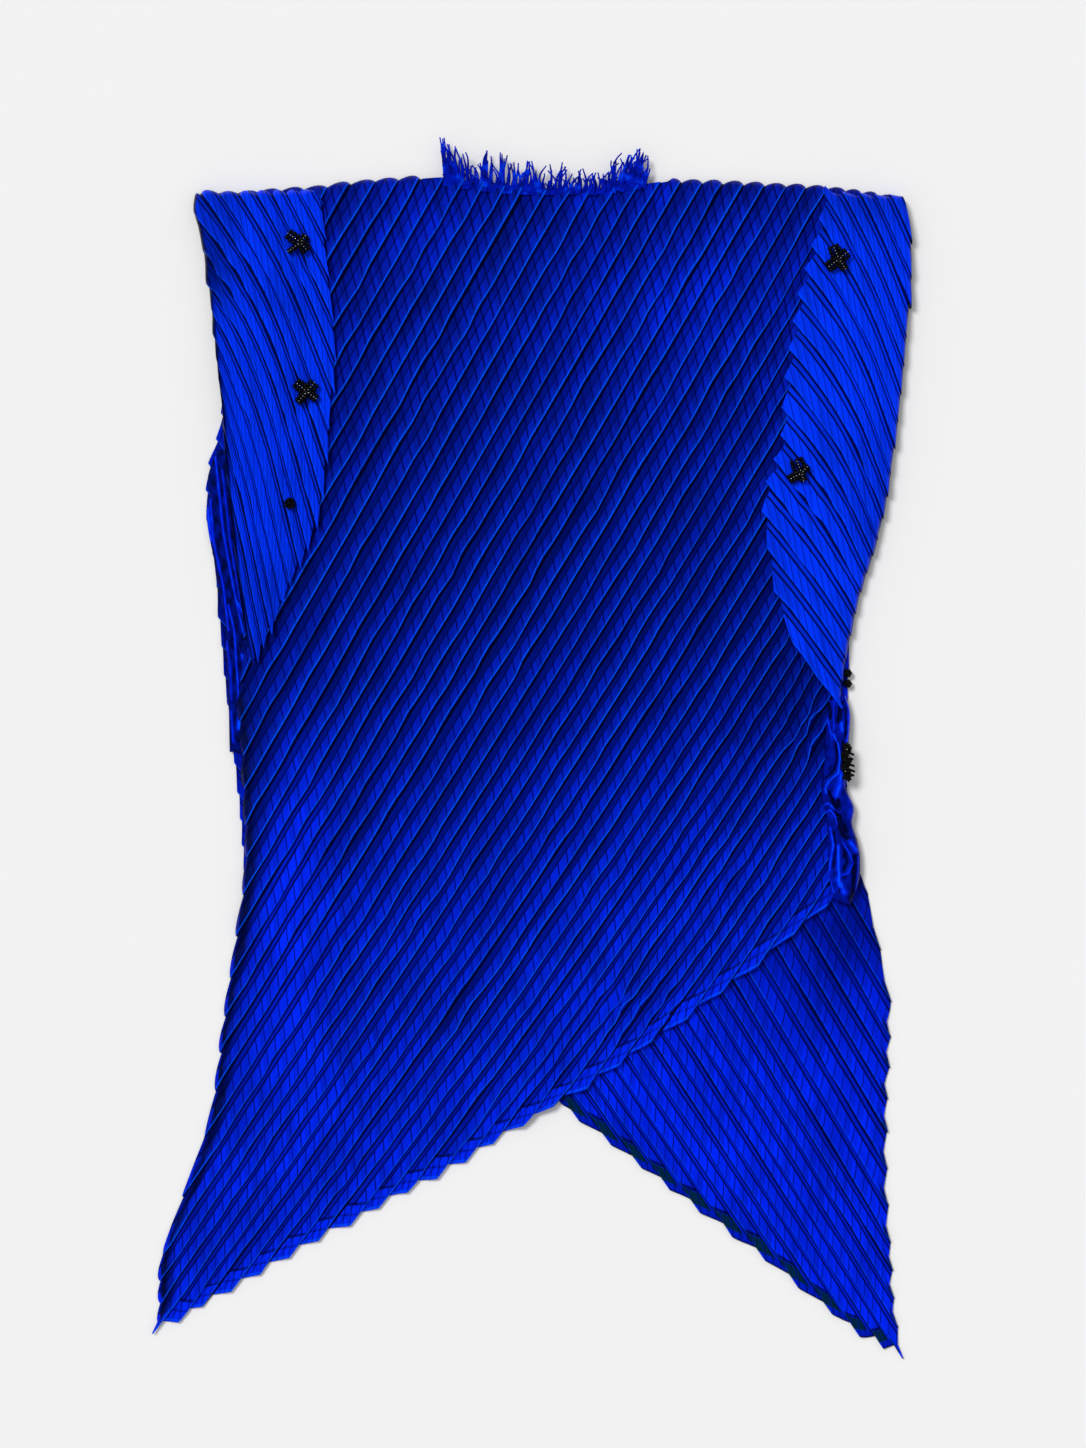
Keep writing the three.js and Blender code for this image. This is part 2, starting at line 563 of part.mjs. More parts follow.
addPiece('back_panel', pleatedPanel({
  edges: BACK_EDGES, pleats: BACK_PLEATS, base: BACK_BASE, wall: WALL, sections: 5, riseAt: tailRise,
}), SHADE_BLUE, 0.5);
addPiece('front_panel', pleatedPanel({
  edges: FRONT_EDGES, pleats: FRONT_PLEATS, wall: WALL, sections: 8, riseAt: tailRise, baseAt: frontBase,
}), CLOTH_BLUE, 0.5);
addPiece('left_sleeve', pleatedPanel({
  edges: LEFT_SLEEVE_EDGES, pleats: LEFT_SLEEVE_PLEATS, base: SLEEVE_BASE, wall: SLEEVE_WALL, sections: 7,
}), SLEEVE_BLUE, 0.5);
addPiece('right_sleeve', pleatedPanel({
  edges: RIGHT_SLEEVE_EDGES, pleats: RIGHT_SLEEVE_PLEATS, base: SLEEVE_BASE, wall: SLEEVE_WALL, sections: 7,
}), SLEEVE_BLUE, 0.5);
addPiece('right_side_tuck', pleatedPanel({
  edges: SIDE_TUCK_EDGES, pleats: SIDE_TUCK_PLEATS, base: SLEEVE_BASE, wall: WALL, sections: 9,
  riseAt: crumpledRise,
}), SHADE_BLUE, 0.55);
addPiece('neck_fringe', fringeGeometry(), THREAD_BLUE, 0.7);
for (const ornament of ORNAMENTS) addPiece(ornament.name, beadCluster(ornament), BEAD_BLACK, 0.2);

export default top;
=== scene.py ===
import math

import bmesh
import bpy
import numpy as np
from mathutils import Matrix, Vector


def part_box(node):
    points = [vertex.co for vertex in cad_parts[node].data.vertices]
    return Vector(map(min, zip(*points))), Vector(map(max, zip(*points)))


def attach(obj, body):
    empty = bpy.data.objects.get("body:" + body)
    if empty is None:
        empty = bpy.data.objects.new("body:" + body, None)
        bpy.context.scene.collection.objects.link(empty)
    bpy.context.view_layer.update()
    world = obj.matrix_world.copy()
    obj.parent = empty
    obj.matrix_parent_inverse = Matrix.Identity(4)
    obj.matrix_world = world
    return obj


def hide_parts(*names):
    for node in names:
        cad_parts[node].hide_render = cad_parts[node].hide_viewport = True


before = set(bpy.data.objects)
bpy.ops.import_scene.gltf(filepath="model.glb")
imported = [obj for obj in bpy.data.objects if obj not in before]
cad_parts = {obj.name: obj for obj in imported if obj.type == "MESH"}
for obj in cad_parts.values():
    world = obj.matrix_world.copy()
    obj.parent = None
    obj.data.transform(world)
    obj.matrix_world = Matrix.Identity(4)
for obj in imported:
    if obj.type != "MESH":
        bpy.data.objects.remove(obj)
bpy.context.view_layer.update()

# The top is photographed from straight above, laid on a pale surface under a large
# soft light at the upper left. The camera's field takes in the photograph's frame.
FLOOR_SIZE = 6.0
FLOOR_DROP = 0.0004
PHOTO_FIELD = 0.9412
PHOTO_CENTRE = (0.0065, 0.0150)
LENS = 85.0
SENSOR = 36.0
GARMENT_LEVEL = 0.007
KEY_FROM = (-0.62, 0.60, 1.25)
KEY_ENERGY = 2.05
KEY_SPREAD = math.radians(20.0)
ROOM_LIGHT = 0.50
FLOOR_GREY = (0.86, 0.86, 0.86, 1)
FLOOR_ROUGHNESS = 0.9

scene = bpy.context.scene
scene.view_settings.view_transform = "Standard"
scene.view_settings.look = "None"

camera_data = bpy.data.cameras.new("studio_camera")
camera_data.lens = LENS
camera_data.sensor_width = SENSOR
camera = bpy.data.objects.new("studio_camera", camera_data)
camera.location = (*PHOTO_CENTRE, LENS / SENSOR * PHOTO_FIELD + GARMENT_LEVEL)
scene.collection.objects.link(camera)
scene.camera = camera

key_light = bpy.data.lights.new("key_light", "SUN")
key_light.energy = KEY_ENERGY
key_light.angle = KEY_SPREAD
key = bpy.data.objects.new("key_light", key_light)
key.rotation_euler = Vector(KEY_FROM).to_track_quat("Z", "Y").to_euler()
scene.collection.objects.link(key)

world = bpy.data.worlds.new("studio")
world.use_nodes = True
room = world.node_tree.nodes["Background"]
room.inputs["Color"].default_value = (1, 1, 1, 1)
room.inputs["Strength"].default_value = ROOM_LIGHT
scene.world = world


def object_from(bm, name):
    """A bmesh becomes an object at the origin, with its place in its mesh."""
    mesh = bpy.data.meshes.new(name)
    bm.to_mesh(mesh)
    bm.free()
    made = bpy.data.objects.new(name, mesh)
    scene.collection.objects.link(made)
    return made


floor_bm = bmesh.new()
bmesh.ops.create_grid(floor_bm, x_segments=1, y_segments=1, size=FLOOR_SIZE / 2)
bmesh.ops.translate(floor_bm, verts=floor_bm.verts, vec=(0, 0, -FLOOR_DROP))
floor = object_from(floor_bm, "pale_surface")
floor_paint = bpy.data.materials.new("pale_surface")
floor_paint.use_nodes = True
floor_face = floor_paint.node_tree.nodes["Principled BSDF"]
floor_face.inputs["Base Color"].default_value = FLOOR_GREY
floor_face.inputs["Roughness"].default_value = FLOOR_ROUGHNESS
floor.data.materials.append(floor_paint)


# The cloth is satin-faced and cobalt blue all through, pressed into knife pleats over a
# first set of finer creases, which still show as small diamonds on every pleat.
# The pleats' folds carry a painted highlight, and their feet a painted deep shade.
class Value:
    """A varying number in a material, which takes part in Python sums."""

    def __init__(self, shader, socket):
        self.shader = shader
        self.socket = socket

    def _math(self, operation, *values):
        made = self.shader.node("ShaderNodeMath", {"operation": operation}, dict(enumerate(values)))
        return Value(self.shader, made.outputs[0])

    def __add__(self, other):
        return self._math("ADD", self, other)

    __radd__ = __add__

    def __sub__(self, other):
        return self._math("SUBTRACT", self, other)

    def __rsub__(self, other):
        return self._math("SUBTRACT", other, self)

    def __mul__(self, other):
        return self._math("MULTIPLY", self, other)

    __rmul__ = __mul__

    def __truediv__(self, other):
        return self._math("DIVIDE", self, other)

    def __abs__(self):
        return self._math("ABSOLUTE", self)

    def floor(self):
        return self._math("FLOOR", self)

    def fraction(self):
        return self._math("FRACT", self)

    def smooth(self, low, high):
        """0 below low, 1 above high, and a soft step between them."""
        made = self.shader.node(
            "ShaderNodeMapRange",
            {"interpolation_type": "SMOOTHSTEP", "clamp": True},
            {"Value": self, "From Min": low, "From Max": high, "To Min": 0.0, "To Max": 1.0},
        )
        return Value(self.shader, made.outputs[0])

    def line(self, middle, width):
        """1 along a line at middle, falling to 0 at width from it."""
        return 1 - abs(self - middle).smooth(0.0, width)


class Shader:
    """A material and the few ways its nodes are made."""

    def __init__(self, name):
        self.material = bpy.data.materials.new(name)
        self.material.use_nodes = True
        self.tree = self.material.node_tree
        self.surface = self.tree.nodes["Principled BSDF"]

    def node(self, kind, settings=None, feeds=None):
        made = self.tree.nodes.new(kind)
        for key, value in (settings or {}).items():
            setattr(made, key, value)
        for key, value in (feeds or {}).items():
            self.feed(made.inputs[key], value)
        return made

    def feed(self, socket, value):
        if isinstance(value, Value):
            value = value.socket
        if isinstance(value, bpy.types.NodeSocket):
            self.tree.links.new(value, socket)
        else:
            socket.default_value = value

    def uv(self):
        coordinate = self.node("ShaderNodeUVMap", {"uv_map": "pleats"})
        split = self.node("ShaderNodeSeparateXYZ", feeds={0: coordinate.outputs["UV"]})
        return Value(self, split.outputs[0]), Value(self, split.outputs[1])

    def attribute(self, name):
        made = self.node("ShaderNodeAttribute", {"attribute_name": name})
        return Value(self, made.outputs["Fac"])

    def vector(self, x, y):
        return self.node("ShaderNodeCombineXYZ", feeds={0: x, 1: y}).outputs[0]

    def noise(self, vector, scale, detail):
        feeds = {"Vector": vector, "Scale": scale, "Detail": detail, "Roughness": NOISE_ROUGHNESS}
        return Value(self, self.node("ShaderNodeTexNoise", feeds=feeds).outputs[0])

    def chance(self, vector):
        made = self.node("ShaderNodeTexWhiteNoise", {"noise_dimensions": "2D"}, {"Vector": vector})
        return Value(self, made.outputs["Value"])

    def object_point(self):
        return self.node("ShaderNodeTexCoord").outputs["Object"]

    def object_height(self):
        """How far up the garment a point lies, toward the neck."""
        split = self.node("ShaderNodeSeparateXYZ", feeds={0: self.object_point()})
        return Value(self, split.outputs[1])

    def mix(self, share, first, second):
        made = self.node("ShaderNodeMix", {"data_type": "RGBA"}, {0: share, 6: first, 7: second})
        return made.outputs[2]

    def bump(self, height, distance, strength):
        feeds = {"Height": height, "Distance": distance, "Strength": strength}
        return self.node("ShaderNodeBump", feeds=feeds).outputs["Normal"]


# The cloth's blues: the darkest, toward which painted shade and the darker stitches and cuts take it, the
# face and sleeve blues, and the painted highlight on the folds
DEEP_AND_SHADE_BLUE = (0.0, 0.0, 0.012, 1)
FACE_BLUE = (0.0, 0.019, 1.0, 1)
SLEEVE_BLUE = (0.0, 0.036, 1.0, 1)
PAINTED_HIGHLIGHT_BLUE = (0.0, 0.085, 1.0, 1)
SHADED_LINING_TEAL = (0.0, 0.017, 0.034, 1)
GAP_SHADE = 0.97
GLOSS_TINT = (0.0, 0.06, 1.0, 1)
GLOSS = 0.42
NOISE_ROUGHNESS = 0.55
THREAD_SIZE = 0.00045
THREAD_SHARE = 0.05
RELIEF_DEPTH = 0.0009
RELIEF_STRENGTH = 0.8
CREASE_STEP = 0.0097
LATTICE_HEIGHT = (0.12, 0.27)

# Across one pleat, from its foot at 0 to its fold at 1: where the painted highlight on the fold
# starts and ends, the second ridge whose painted highlight shows on some pleats, and the gap
# behind the fold, in painted shade
FOLD_START = (0.898, 0.916)
FOLD_END = (0.962, 0.980)
TWIN_RIDGE = (0.835, 0.022)
GAP_START = (0.983, 0.993)

# Inward from a cut hem, in metres: the turned band, its stitches and the painted highlight on
# its edge on the front; the strip, the open mouths with their lining in painted shade, and their
# rims of painted shade on the back. An END is where a soft step starts and stops, and the rest
# are a line's place and its width. The small cuts across both hems are counted in pleats, and
# lean by so many pleats a metre.
BAND_END = (0.0070, 0.0082)
STITCH_MIDDLE = (0.0042, 0.0007)
STITCH_INNER = (0.0079, 0.0009)
BAND_EDGE_HIGHLIGHT = (0.0007, 0.0007)
STRIP_END = (0.0024, 0.0029)
MOUTH_END = (0.0068, 0.0080)
RIM_INNER = (0.0078, 0.0010)
RIM_OUTER = (0.0001, 0.0007)
CUT_PLACES = (0.30, 0.62, 0.92)
CUT_WIDTH = 0.045
CUT_LEAN = 81.0


def satin(shader, level, fold, height, roughness, shaded_lining=None, face_blue=FACE_BLUE):
    """The cloth's blue, darkened by painted shade to a given level, with a painted highlight on its folds,
    the teal of a lining in painted shade where one shows, and its weave and gloss.
    """
    blue = shader.mix(level, DEEP_AND_SHADE_BLUE, face_blue)
    blue = shader.mix(fold, blue, PAINTED_HIGHLIGHT_BLUE)
    if shaded_lining:
        blue = shader.mix(shaded_lining, blue, SHADED_LINING_TEAL)
    shader.feed(shader.surface.inputs["Base Color"], blue)
    shader.feed(shader.surface.inputs["Roughness"], roughness)
    shader.surface.inputs["Specular IOR Level"].default_value = GLOSS
    shader.surface.inputs["Specular Tint"].default_value = GLOSS_TINT
    weave = shader.noise(shader.object_point(), 1 / THREAD_SIZE, 1.0)
    relief = shader.bump(height + weave * THREAD_SHARE, RELIEF_DEPTH, RELIEF_STRENGTH)
    shader.feed(shader.surface.inputs["Normal"], relief)
    return shader.material


def pleated_cloth(name, second, band_shade, foot_shade, fold_light, crease_shade, half_shade, slope,
                  gap_width=0.085, bow=0.0, narrowing=0.0, latticed=False, stitched=False,
                  lined=False, face_blue=FACE_BLUE):
    """One panel's finish, with painted highlight and painted shade on every pleat. Its UV map counts pleats
    across and metres along.
    """
    shader = Shader(name)
    across, along = shader.uv()
    tone_and_painted_light = shader.attribute("tone_and_painted_light")
    hem = shader.attribute("hem")
    place = across.fraction()
    pleat = across.floor()
    luck = shader.chance(shader.vector(pleat, 3.7))

    # What differs from pleat to pleat and along each one
    slow = shader.noise(shader.vector(pleat * 7.3, along * 14.0), 1.0, 1.0)
    patch = shader.noise(shader.vector(pleat * 3.1 + 40.0, along * 9.0), 1.0, 2.0)
    streak = shader.noise(shader.vector(across * 16.0, along * 6.0), 1.0, 3.0)
    cloud = shader.noise(shader.object_point(), 24.0, 2.0)
    bright = tone_and_painted_light.smooth(0.36, 0.70)
    lattice = shader.object_height().smooth(*LATTICE_HEIGHT) if latticed else 0.0
    crease_place = (slow - 0.5) * 0.16 + second - bright * narrowing

    # A pleat's parts: its fold and second ridge with painted highlights, its foot and gap in painted
    # shade, and the half crease, in painted shade, that parts its band from its face
    fold = place.smooth(*FOLD_START) * (1 - place.smooth(*FOLD_END))
    fold = fold * (patch * 2.2 - 0.20) * ((streak - 0.5) * 1.4 + 1)
    twin = place.line(*TWIN_RIDGE) * patch.smooth(0.50, 0.60)
    foot = 1 - place.smooth(0.03, patch.smooth(0.48, 0.72) * 0.40 + 0.14)
    wide = ((slow - 0.5) * 2.2 + 1) * (1 - bright * narrowing * 2.4) * gap_width
    gap = (1 - place.smooth(wide * 0.5, wide)) + place.smooth(*GAP_START)
    half = 1 - abs(place - crease_place).smooth(0.008, bright * 0.028 + 0.047)
    face = (place - crease_place).smooth(0.0, 0.06)

    # The finer creases that cross every pleat, in painted shade with a painted highlight beside each,
    # and the small facets between them, painted lighter and darker partly at random and partly as light on
    # their slopes
    steps = along / CREASE_STEP + place * slope + place * place * bow + luck * 0.5 + (slow - 0.5) * 0.8
    step_place = steps.fraction()
    which = shader.chance(shader.vector(pleat + 0.5, steps.floor()))
    shown = face * 0.75 + 0.25 + (1 - face) * lattice * 0.6
    crease = step_place.line(0.5, lattice * 0.035 + 0.092) * shown * (which * 0.4 + 0.6)
    lit = step_place.line(0.60, 0.05) * shown
    facet = (which - 0.5) * shown + (step_place - 0.5) * 0.5 * shown

    # How light the cloth is, from its tone with painted light and shade, the band's painted shade
    # and all of the above
    level = tone_and_painted_light * (1 - (1 - face) * band_shade * (1 - bright * narrowing * 3.4) * (1 - lattice * 0.55))
    level = level * (1 - foot * foot_shade * (1 - bright * narrowing * 4.0) * (1 - lattice * 0.4))
    level = level * (facet * (lattice * 0.20 + 0.42) + 1) * (cloud * 0.80 + 0.60)
    level = level * ((streak - 0.5) * 1.1 * (1 - face * 0.6) + 1)
    level = (level + lit * tone_and_painted_light * 0.10) * (1 - crease * crease_shade)
    level = level * (1 - half * half_shade * (bright * 0.42 + 0.58))
    shaded_lining = None
    if stitched or lined:
        cell = (place + hem * CUT_LEAN).fraction()
        near_cut, middle_cut, far_cut = (cell.line(cut, CUT_WIDTH) for cut in CUT_PLACES)
        cuts = near_cut + middle_cut + far_cut
    if stitched:
        band = 1 - hem.smooth(*BAND_END)
        stitch = hem.line(*STITCH_MIDDLE) * 0.6 + hem.line(*STITCH_INNER) * 0.9
        level = level + (tone_and_painted_light * 1.45 * (1 - cuts * 0.9) - level) * band
        level = level * (1 - stitch)
        # A painted highlight along the band's edge
        fold = fold + hem.line(*BAND_EDGE_HIGHLIGHT) * 0.7
    if lined:
        # Painted shade: the dark rims, and the open mouths, where the lining's teal shows in painted shade
        rim = hem.line(*RIM_INNER) * place.smooth(0.25, 0.30) + hem.line(*RIM_OUTER)
        mouth = hem.smooth(*STRIP_END) * (1 - hem.smooth(*MOUTH_END)) * place.smooth(0.22, 0.26)
        strip = 1 - hem.smooth(*STRIP_END)
        level = level + (tone_and_painted_light * 0.66 * (1 - cuts * 0.9) - level) * strip
        level = level * (1 - rim) * (1 - mouth * cuts)
        shaded_lining = mouth * (1 - gap) * (1 - cuts) * (1 - rim)
    # The gap behind each fold, in painted shade
    level = level * (1 - gap * GAP_SHADE)

    height = facet * 0.35 - crease * 0.8 - half * 0.8 + streak * 0.22 + twin * 0.5
    # The painted highlight on each fold and second ridge
    light = (fold + twin * 0.55) * fold_light * (1 - gap) * (1 - bright * narrowing * 3.2)
    roughness = 0.50 - fold * 0.10 + (streak - 0.5) * 0.1
    return satin(shader, level, light, height, roughness, shaded_lining, face_blue)


# The back panel lies on the surface: one pleated cloth with a long point at the
# lower right. Pleats run down to the right, all pressed one way. Its right edge and
# hem are cut across the pleats, so each pleat ends in a small tooth.
WALL = 0.0007
CLOTH = 0.00028
PLEAT_REACH = 0.9
PLEAT_STEP = 0.002
SHORTEST = 0.004
LARGEST_BREAK = 7
SETTLE_ROUNDS = 12
BEND_LENGTH = 0.1
HEADING_STEP = 0.001
KINKS_AT = np.arange(-PLEAT_REACH, PLEAT_REACH, 0.017)
KINK_LIMIT = 1.6
PLEAT_STRAY = 0.0005
LIFT_STRAY = 0.12
PAST_LAST = 0.03
LIP_ROWS = 9
LIP_REACH = 0.009
LIP_RADIUS = 0.005
LIP_FOOT = 0.0008
TOOTH_ROUNDNESS = 0.7
MOUTH_START = 0.70
MOUTH_DEPTH = 0.0075
MOUTH_SHADE = 0.97
SHADE_START = 0.0004
SHADE_FADE = 0.001
CRUMPLE_TURNS = 280.0
CRUMPLE_SWING = 0.7
CRUMPLE_DIP = 0.35

# Across a pleat: its place from foot to fold, its share of the height, how far a kink
# moves it, and its place in the finish
PLEAT_PROFILE = [
    (0.000, 0.00, 0.00, 0.000),
    (0.100, 0.04, 0.10, 0.100),
    (0.270, 0.24, 0.30, 0.270),
    (0.335, 0.15, 0.35, 0.335),
    (0.500, 0.42, 0.60, 0.500),
    (0.700, 0.72, 0.85, 0.700),
    (0.900, 0.96, 1.00, 0.890),
    (0.975, 1.00, 1.00, 0.940),
    (1.010, 0.80, 0.95, 0.978),
    (0.985, 0.22, 0.50, 0.990),
]


def panel_edge(name, through, tooth=0.0, lip=0, ends="saw", shaded=None):
    """An edge of a panel: the places that it runs through, how far its teeth reach past
    it, 1 where they curl down, their shape, and the strip along it painted in shade."""
    return {"name": name, "through": through, "tooth": tooth, "lip": lip, "ends": ends, "shaded": shaded}


def smooth_edge(points, step=0.004):
    """Points along a centripetal curve through an edge's points."""
    given = [np.array(p, float) for p in points]
    ends = [2 * given[0] - given[1], *given, 2 * given[-1] - given[-2]]
    made = []
    for before, first, second, after in zip(ends, ends[1:], ends[2:], ends[3:]):
        spans = ((before, first), (first, second), (second, after))
        gap_in, gap, gap_out = (math.sqrt(np.linalg.norm(b - a)) for a, b in spans)
        leave = (first - before) / gap_in - (second - before) / (gap_in + gap) + (second - first) / gap
        reach = (second - first) / gap - (after - first) / (gap + gap_out) + (after - second) / gap_out
        leave = leave * gap
        reach = reach * gap
        count = max(1, round(np.linalg.norm(second - first) / step))
        for s in np.arange(count) / count:
            made.append(
                first * (2 * s**3 - 3 * s**2 + 1)
                + leave * (s**3 - 2 * s**2 + s)
                + second * (3 * s**2 - 2 * s**3)
                + reach * (s**3 - s**2)
            )
    made.append(given[-1])
    return np.array(made)


class Outline:
    """A panel's edges as short straight steps, each knowing the edge that it is on."""

    def __init__(self, edges):
        starts = []
        ends = []
        owners = []
        for number, edge in enumerate(edges):
            points = smooth_edge(edge["through"])
            starts.append(points[:-1])
            ends.append(points[1:])
            owners += [number] * (len(points) - 1)
        self.edges = edges
        self.starts = np.concatenate(starts)
        self.ends = np.concatenate(ends)
        self.middles = (self.starts + self.ends) / 2
        self.owners = np.array(owners)

    def holds(self, points):
        x = points[:, 0:1]
        y = points[:, 1:2]
        ax, ay = self.starts.T
        bx, by = self.ends.T
        straddles = (ay > y) != (by > y)
        rise = np.where(by == ay, 1.0, by - ay)
        crossing = ax + (bx - ax) * (y - ay) / rise
        return (straddles & (x < crossing)).sum(1) % 2 == 1

    def edge_at(self, point, heading):
        """The edge nearest to a point, and the sine of the angle at which a pleat meets it."""
        near = np.argmin(((self.middles - point) ** 2).sum(1))
        run = self.ends[near] - self.starts[near]
        run = run / np.linalg.norm(run)
        return self.edges[self.owners[near]], abs(run[0] * heading[1] - run[1] * heading[0])


def on_pleat(pleats, place, t):
    """Points of a pleat's line over the plan: a shallow arc through its place on the spine."""
    counted, *columns = zip(*pleats["rows"])
    along, angle, bend = (np.interp(place, counted, column) for column in columns)
    start = np.array(pleats["spine"][0]) * (1 - along) + np.array(pleats["spine"][1]) * along
    turn = math.radians(angle)
    turned = np.maximum(t, 0) if pleats.get("bends_up") else t
    aside = 0.5 * math.radians(bend) / BEND_LENGTH * np.square(turned)
    ahead = np.array([math.cos(turn), math.sin(turn)])
    left = np.array([-math.sin(turn), math.cos(turn)])
    return start + np.multiply.outer(t, ahead) + np.multiply.outer(aside, left)


def stretch_inside(outline, pleats, place):
    """Both ends of a pleat's longest stretch inside the outline, or None."""
    t = np.arange(-PLEAT_REACH, PLEAT_REACH, PLEAT_STEP)
    inside = np.flatnonzero(outline.holds(on_pleat(pleats, place, t)))
    if len(inside) == 0:
        return None
    runs = np.split(inside, np.flatnonzero(np.diff(inside) > LARGEST_BREAK) + 1)
    run = max(runs, key=len)

    def settle(near, far):
        for _ in range(SETTLE_ROUNDS):
            middle = (near + far) / 2
            if outline.holds(on_pleat(pleats, place, np.array([middle])))[0]:
                near = middle
            else:
                far = middle
        return near

    low = settle(t[run[0]], t[run[0]] - PLEAT_STEP)
    high = settle(t[run[-1]], t[run[-1]] + PLEAT_STEP)
    return (low, high) if high - low > SHORTEST else None


def tooth_length(edge, share):
    """How far a pleat's end reaches past the edge: a saw tooth, a round one or an open mouth."""
    share = min(max(share, 0.0), 1.0)
    if edge["ends"] == "round":
        return edge["tooth"] * math.sin(math.pi * share) ** TOOTH_ROUNDNESS
    if edge["ends"] == "saw":
        return edge["tooth"] * share
    if share < MOUTH_START:
        return edge["tooth"] * (1 - share / MOUTH_START)
    return edge["tooth"] * (share - MOUTH_START) / (1 - MOUTH_START)


def pleat_columns(outline, pleats, kink, seed, fold_first):
    """The lines of points that make a panel, ten to a pleat. Each has its place across the
    pleats, its part of the profile, its pleat's kinks, lifts and waves, and its stretch."""
    chance = np.random.default_rng(seed)
    last = pleats["rows"][-1][0]
    waves = np.random.default_rng(seed + 100).normal(0, 1, (last + 1, 3))
    profile = [(place, rise, give, shown, place) for place, rise, give, shown in PLEAT_PROFILE]
    if fold_first:
        turned = profile[:0:-1]
        profile = [(1 - place, rise, give, shown - 1, place) for place, rise, give, shown, _ in turned]
        profile.insert(0, (0.0, 0.0, 0.0, 0.0, 0.0))
    columns = []
    for pleat in range(last + 1):
        turns = np.clip(chance.normal(0, 1, len(KINKS_AT)), -KINK_LIMIT, KINK_LIMIT)
        kinks = kink * turns**3 * 0.5 + PLEAT_STRAY * chance.normal(0, 1)
        lifts = 1 + LIFT_STRAY * chance.normal(0, 1, len(KINKS_AT))
        for place, rise, give, shown, share in profile:
            whole = pleat + place
            stretch = stretch_inside(outline, pleats, whole) if whole <= last + PAST_LAST else None
            if stretch:
                counted = shown - pleat if fold_first else shown + pleat
                columns.append((whole, rise, give, counted, share, kinks, lifts, waves[pleat], stretch))
    return columns


def edges_met(outline, pleats, place, stretch):
    """The edges at both ends of a column, each with the sine of the angle between them."""
    met = []
    for end in stretch:
        here, there = on_pleat(pleats, place, np.array([end, end + HEADING_STEP]))
        met.append(outline.edge_at(here, (there - here) / HEADING_STEP))
    return met


def along_column(low, high, reach, rows):
    """Places along a column, closer together at both ends, where the cloth curls down."""
    shares = np.linspace(0, 1, rows - 2 * LIP_ROWS)
    turns = np.sin(np.arange(1, LIP_ROWS + 1) / LIP_ROWS * math.pi / 2)
    return np.concatenate([
        (low + reach - reach * turns)[::-1],
        low + reach + (high - low - 2 * reach) * shares,
        high - reach + reach * turns,
    ])


def crumple(x, y, lift, t, aside, give, wave, crumples):
    """In the crumpled places a column is pushed to and fro and its ridge is pressed down."""
    for cx, cy, wide, amount in crumples:
        near = amount * np.exp(-((x - cx) ** 2 + (y - cy) ** 2) / wide**2)
        swing = wave[0] + CRUMPLE_SWING * np.sin(t * CRUMPLE_TURNS + wave[1] * 3)
        x = x + near * swing * give * aside[:, 0]
        y = y + near * swing * give * aside[:, 1]
        lift = lift * (1 - near / amount * CRUMPLE_DIP * (1 + np.sin(t * CRUMPLE_TURNS + wave[2] * 3)))
    return x, y, lift


def pleated_sheet(name, edges, pleats, rows, base, depth, tone_and_painted_light, kink, seed, fold_first=False, crumples=()):
    """A cloth panel: a grid of columns across the pleats and rows along them."""
    outline = Outline(edges)
    columns = pleat_columns(outline, pleats, kink, seed, fold_first)
    shape = (len(columns), rows)
    grid = np.zeros((*shape, 3))
    uv = np.zeros((*shape, 2))
    hem = np.ones(shape)
    mouth = np.zeros(shape)
    shade = np.ones(shape)
    for number, (whole, rise, give, counted, share, kinks, lifts, wave, stretch) in enumerate(columns):
        (first, first_sine), (last, last_sine) = edges_met(outline, pleats, whole, stretch)
        low = stretch[0] - tooth_length(first, share)
        high = stretch[1] + tooth_length(last, share)
        reach = min(LIP_REACH, (high - low) / 4)
        t = along_column(low, high, reach, rows)
        points = on_pleat(pleats, whole, t)
        heading = np.gradient(points, axis=0)
        heading /= np.maximum(np.linalg.norm(heading, axis=1, keepdims=True), 1e-9)
        aside = np.stack([heading[:, 1], -heading[:, 0]], axis=1)
        x, y = (points + aside * (np.interp(t, KINKS_AT, kinks) * give)[:, None]).T
        lift = np.interp(t, KINKS_AT, lifts)
        x, y, lift = crumple(x, y, lift, t, aside, give, wave, crumples)
        height = base(x, y) + WALL + depth(x, y) * rise * lift
        for edge, away in ((first, t - low), (last, high - t)):
            near = np.clip(1 - away / min(LIP_RADIUS, reach), 0, 1)
            height = height - edge["lip"] * (1 - np.sqrt(1 - near**2)) * (height - LIP_FOOT)
        grid[number] = np.stack([x, y, height], axis=1)
        uv[number] = np.stack([np.full(rows, counted), t], axis=1)
        if first["name"] == "hem":
            hem[number] = (t - low) * first_sine
        # Painted shade: a strip along a shaded edge, and the open mouths at pleats' ends
        for edge, sine, away in ((first, first_sine, t - low), (last, last_sine, high - t)):
            if edge["shaded"]:
                near, far = edge["shaded"]
                dark = ramp(away * sine, near - SHADE_START, near + SHADE_START)
                shade[number] *= 1 - dark * (1 - ramp(away * sine, far - SHADE_FADE, far + SHADE_FADE))
            if edge["ends"] == "open" and share > MOUTH_START + 0.01:
                mouth[number] = away < MOUTH_DEPTH
    # The tone, with painted shade in the mouths and the shaded strips
    tones = tone_and_painted_light(grid[:, :, 0], grid[:, :, 1]) * (1 - MOUTH_SHADE * mouth) * shade
    return cloth_object(name, grid, uv, {"tone_and_painted_light": tones, "hem": hem})


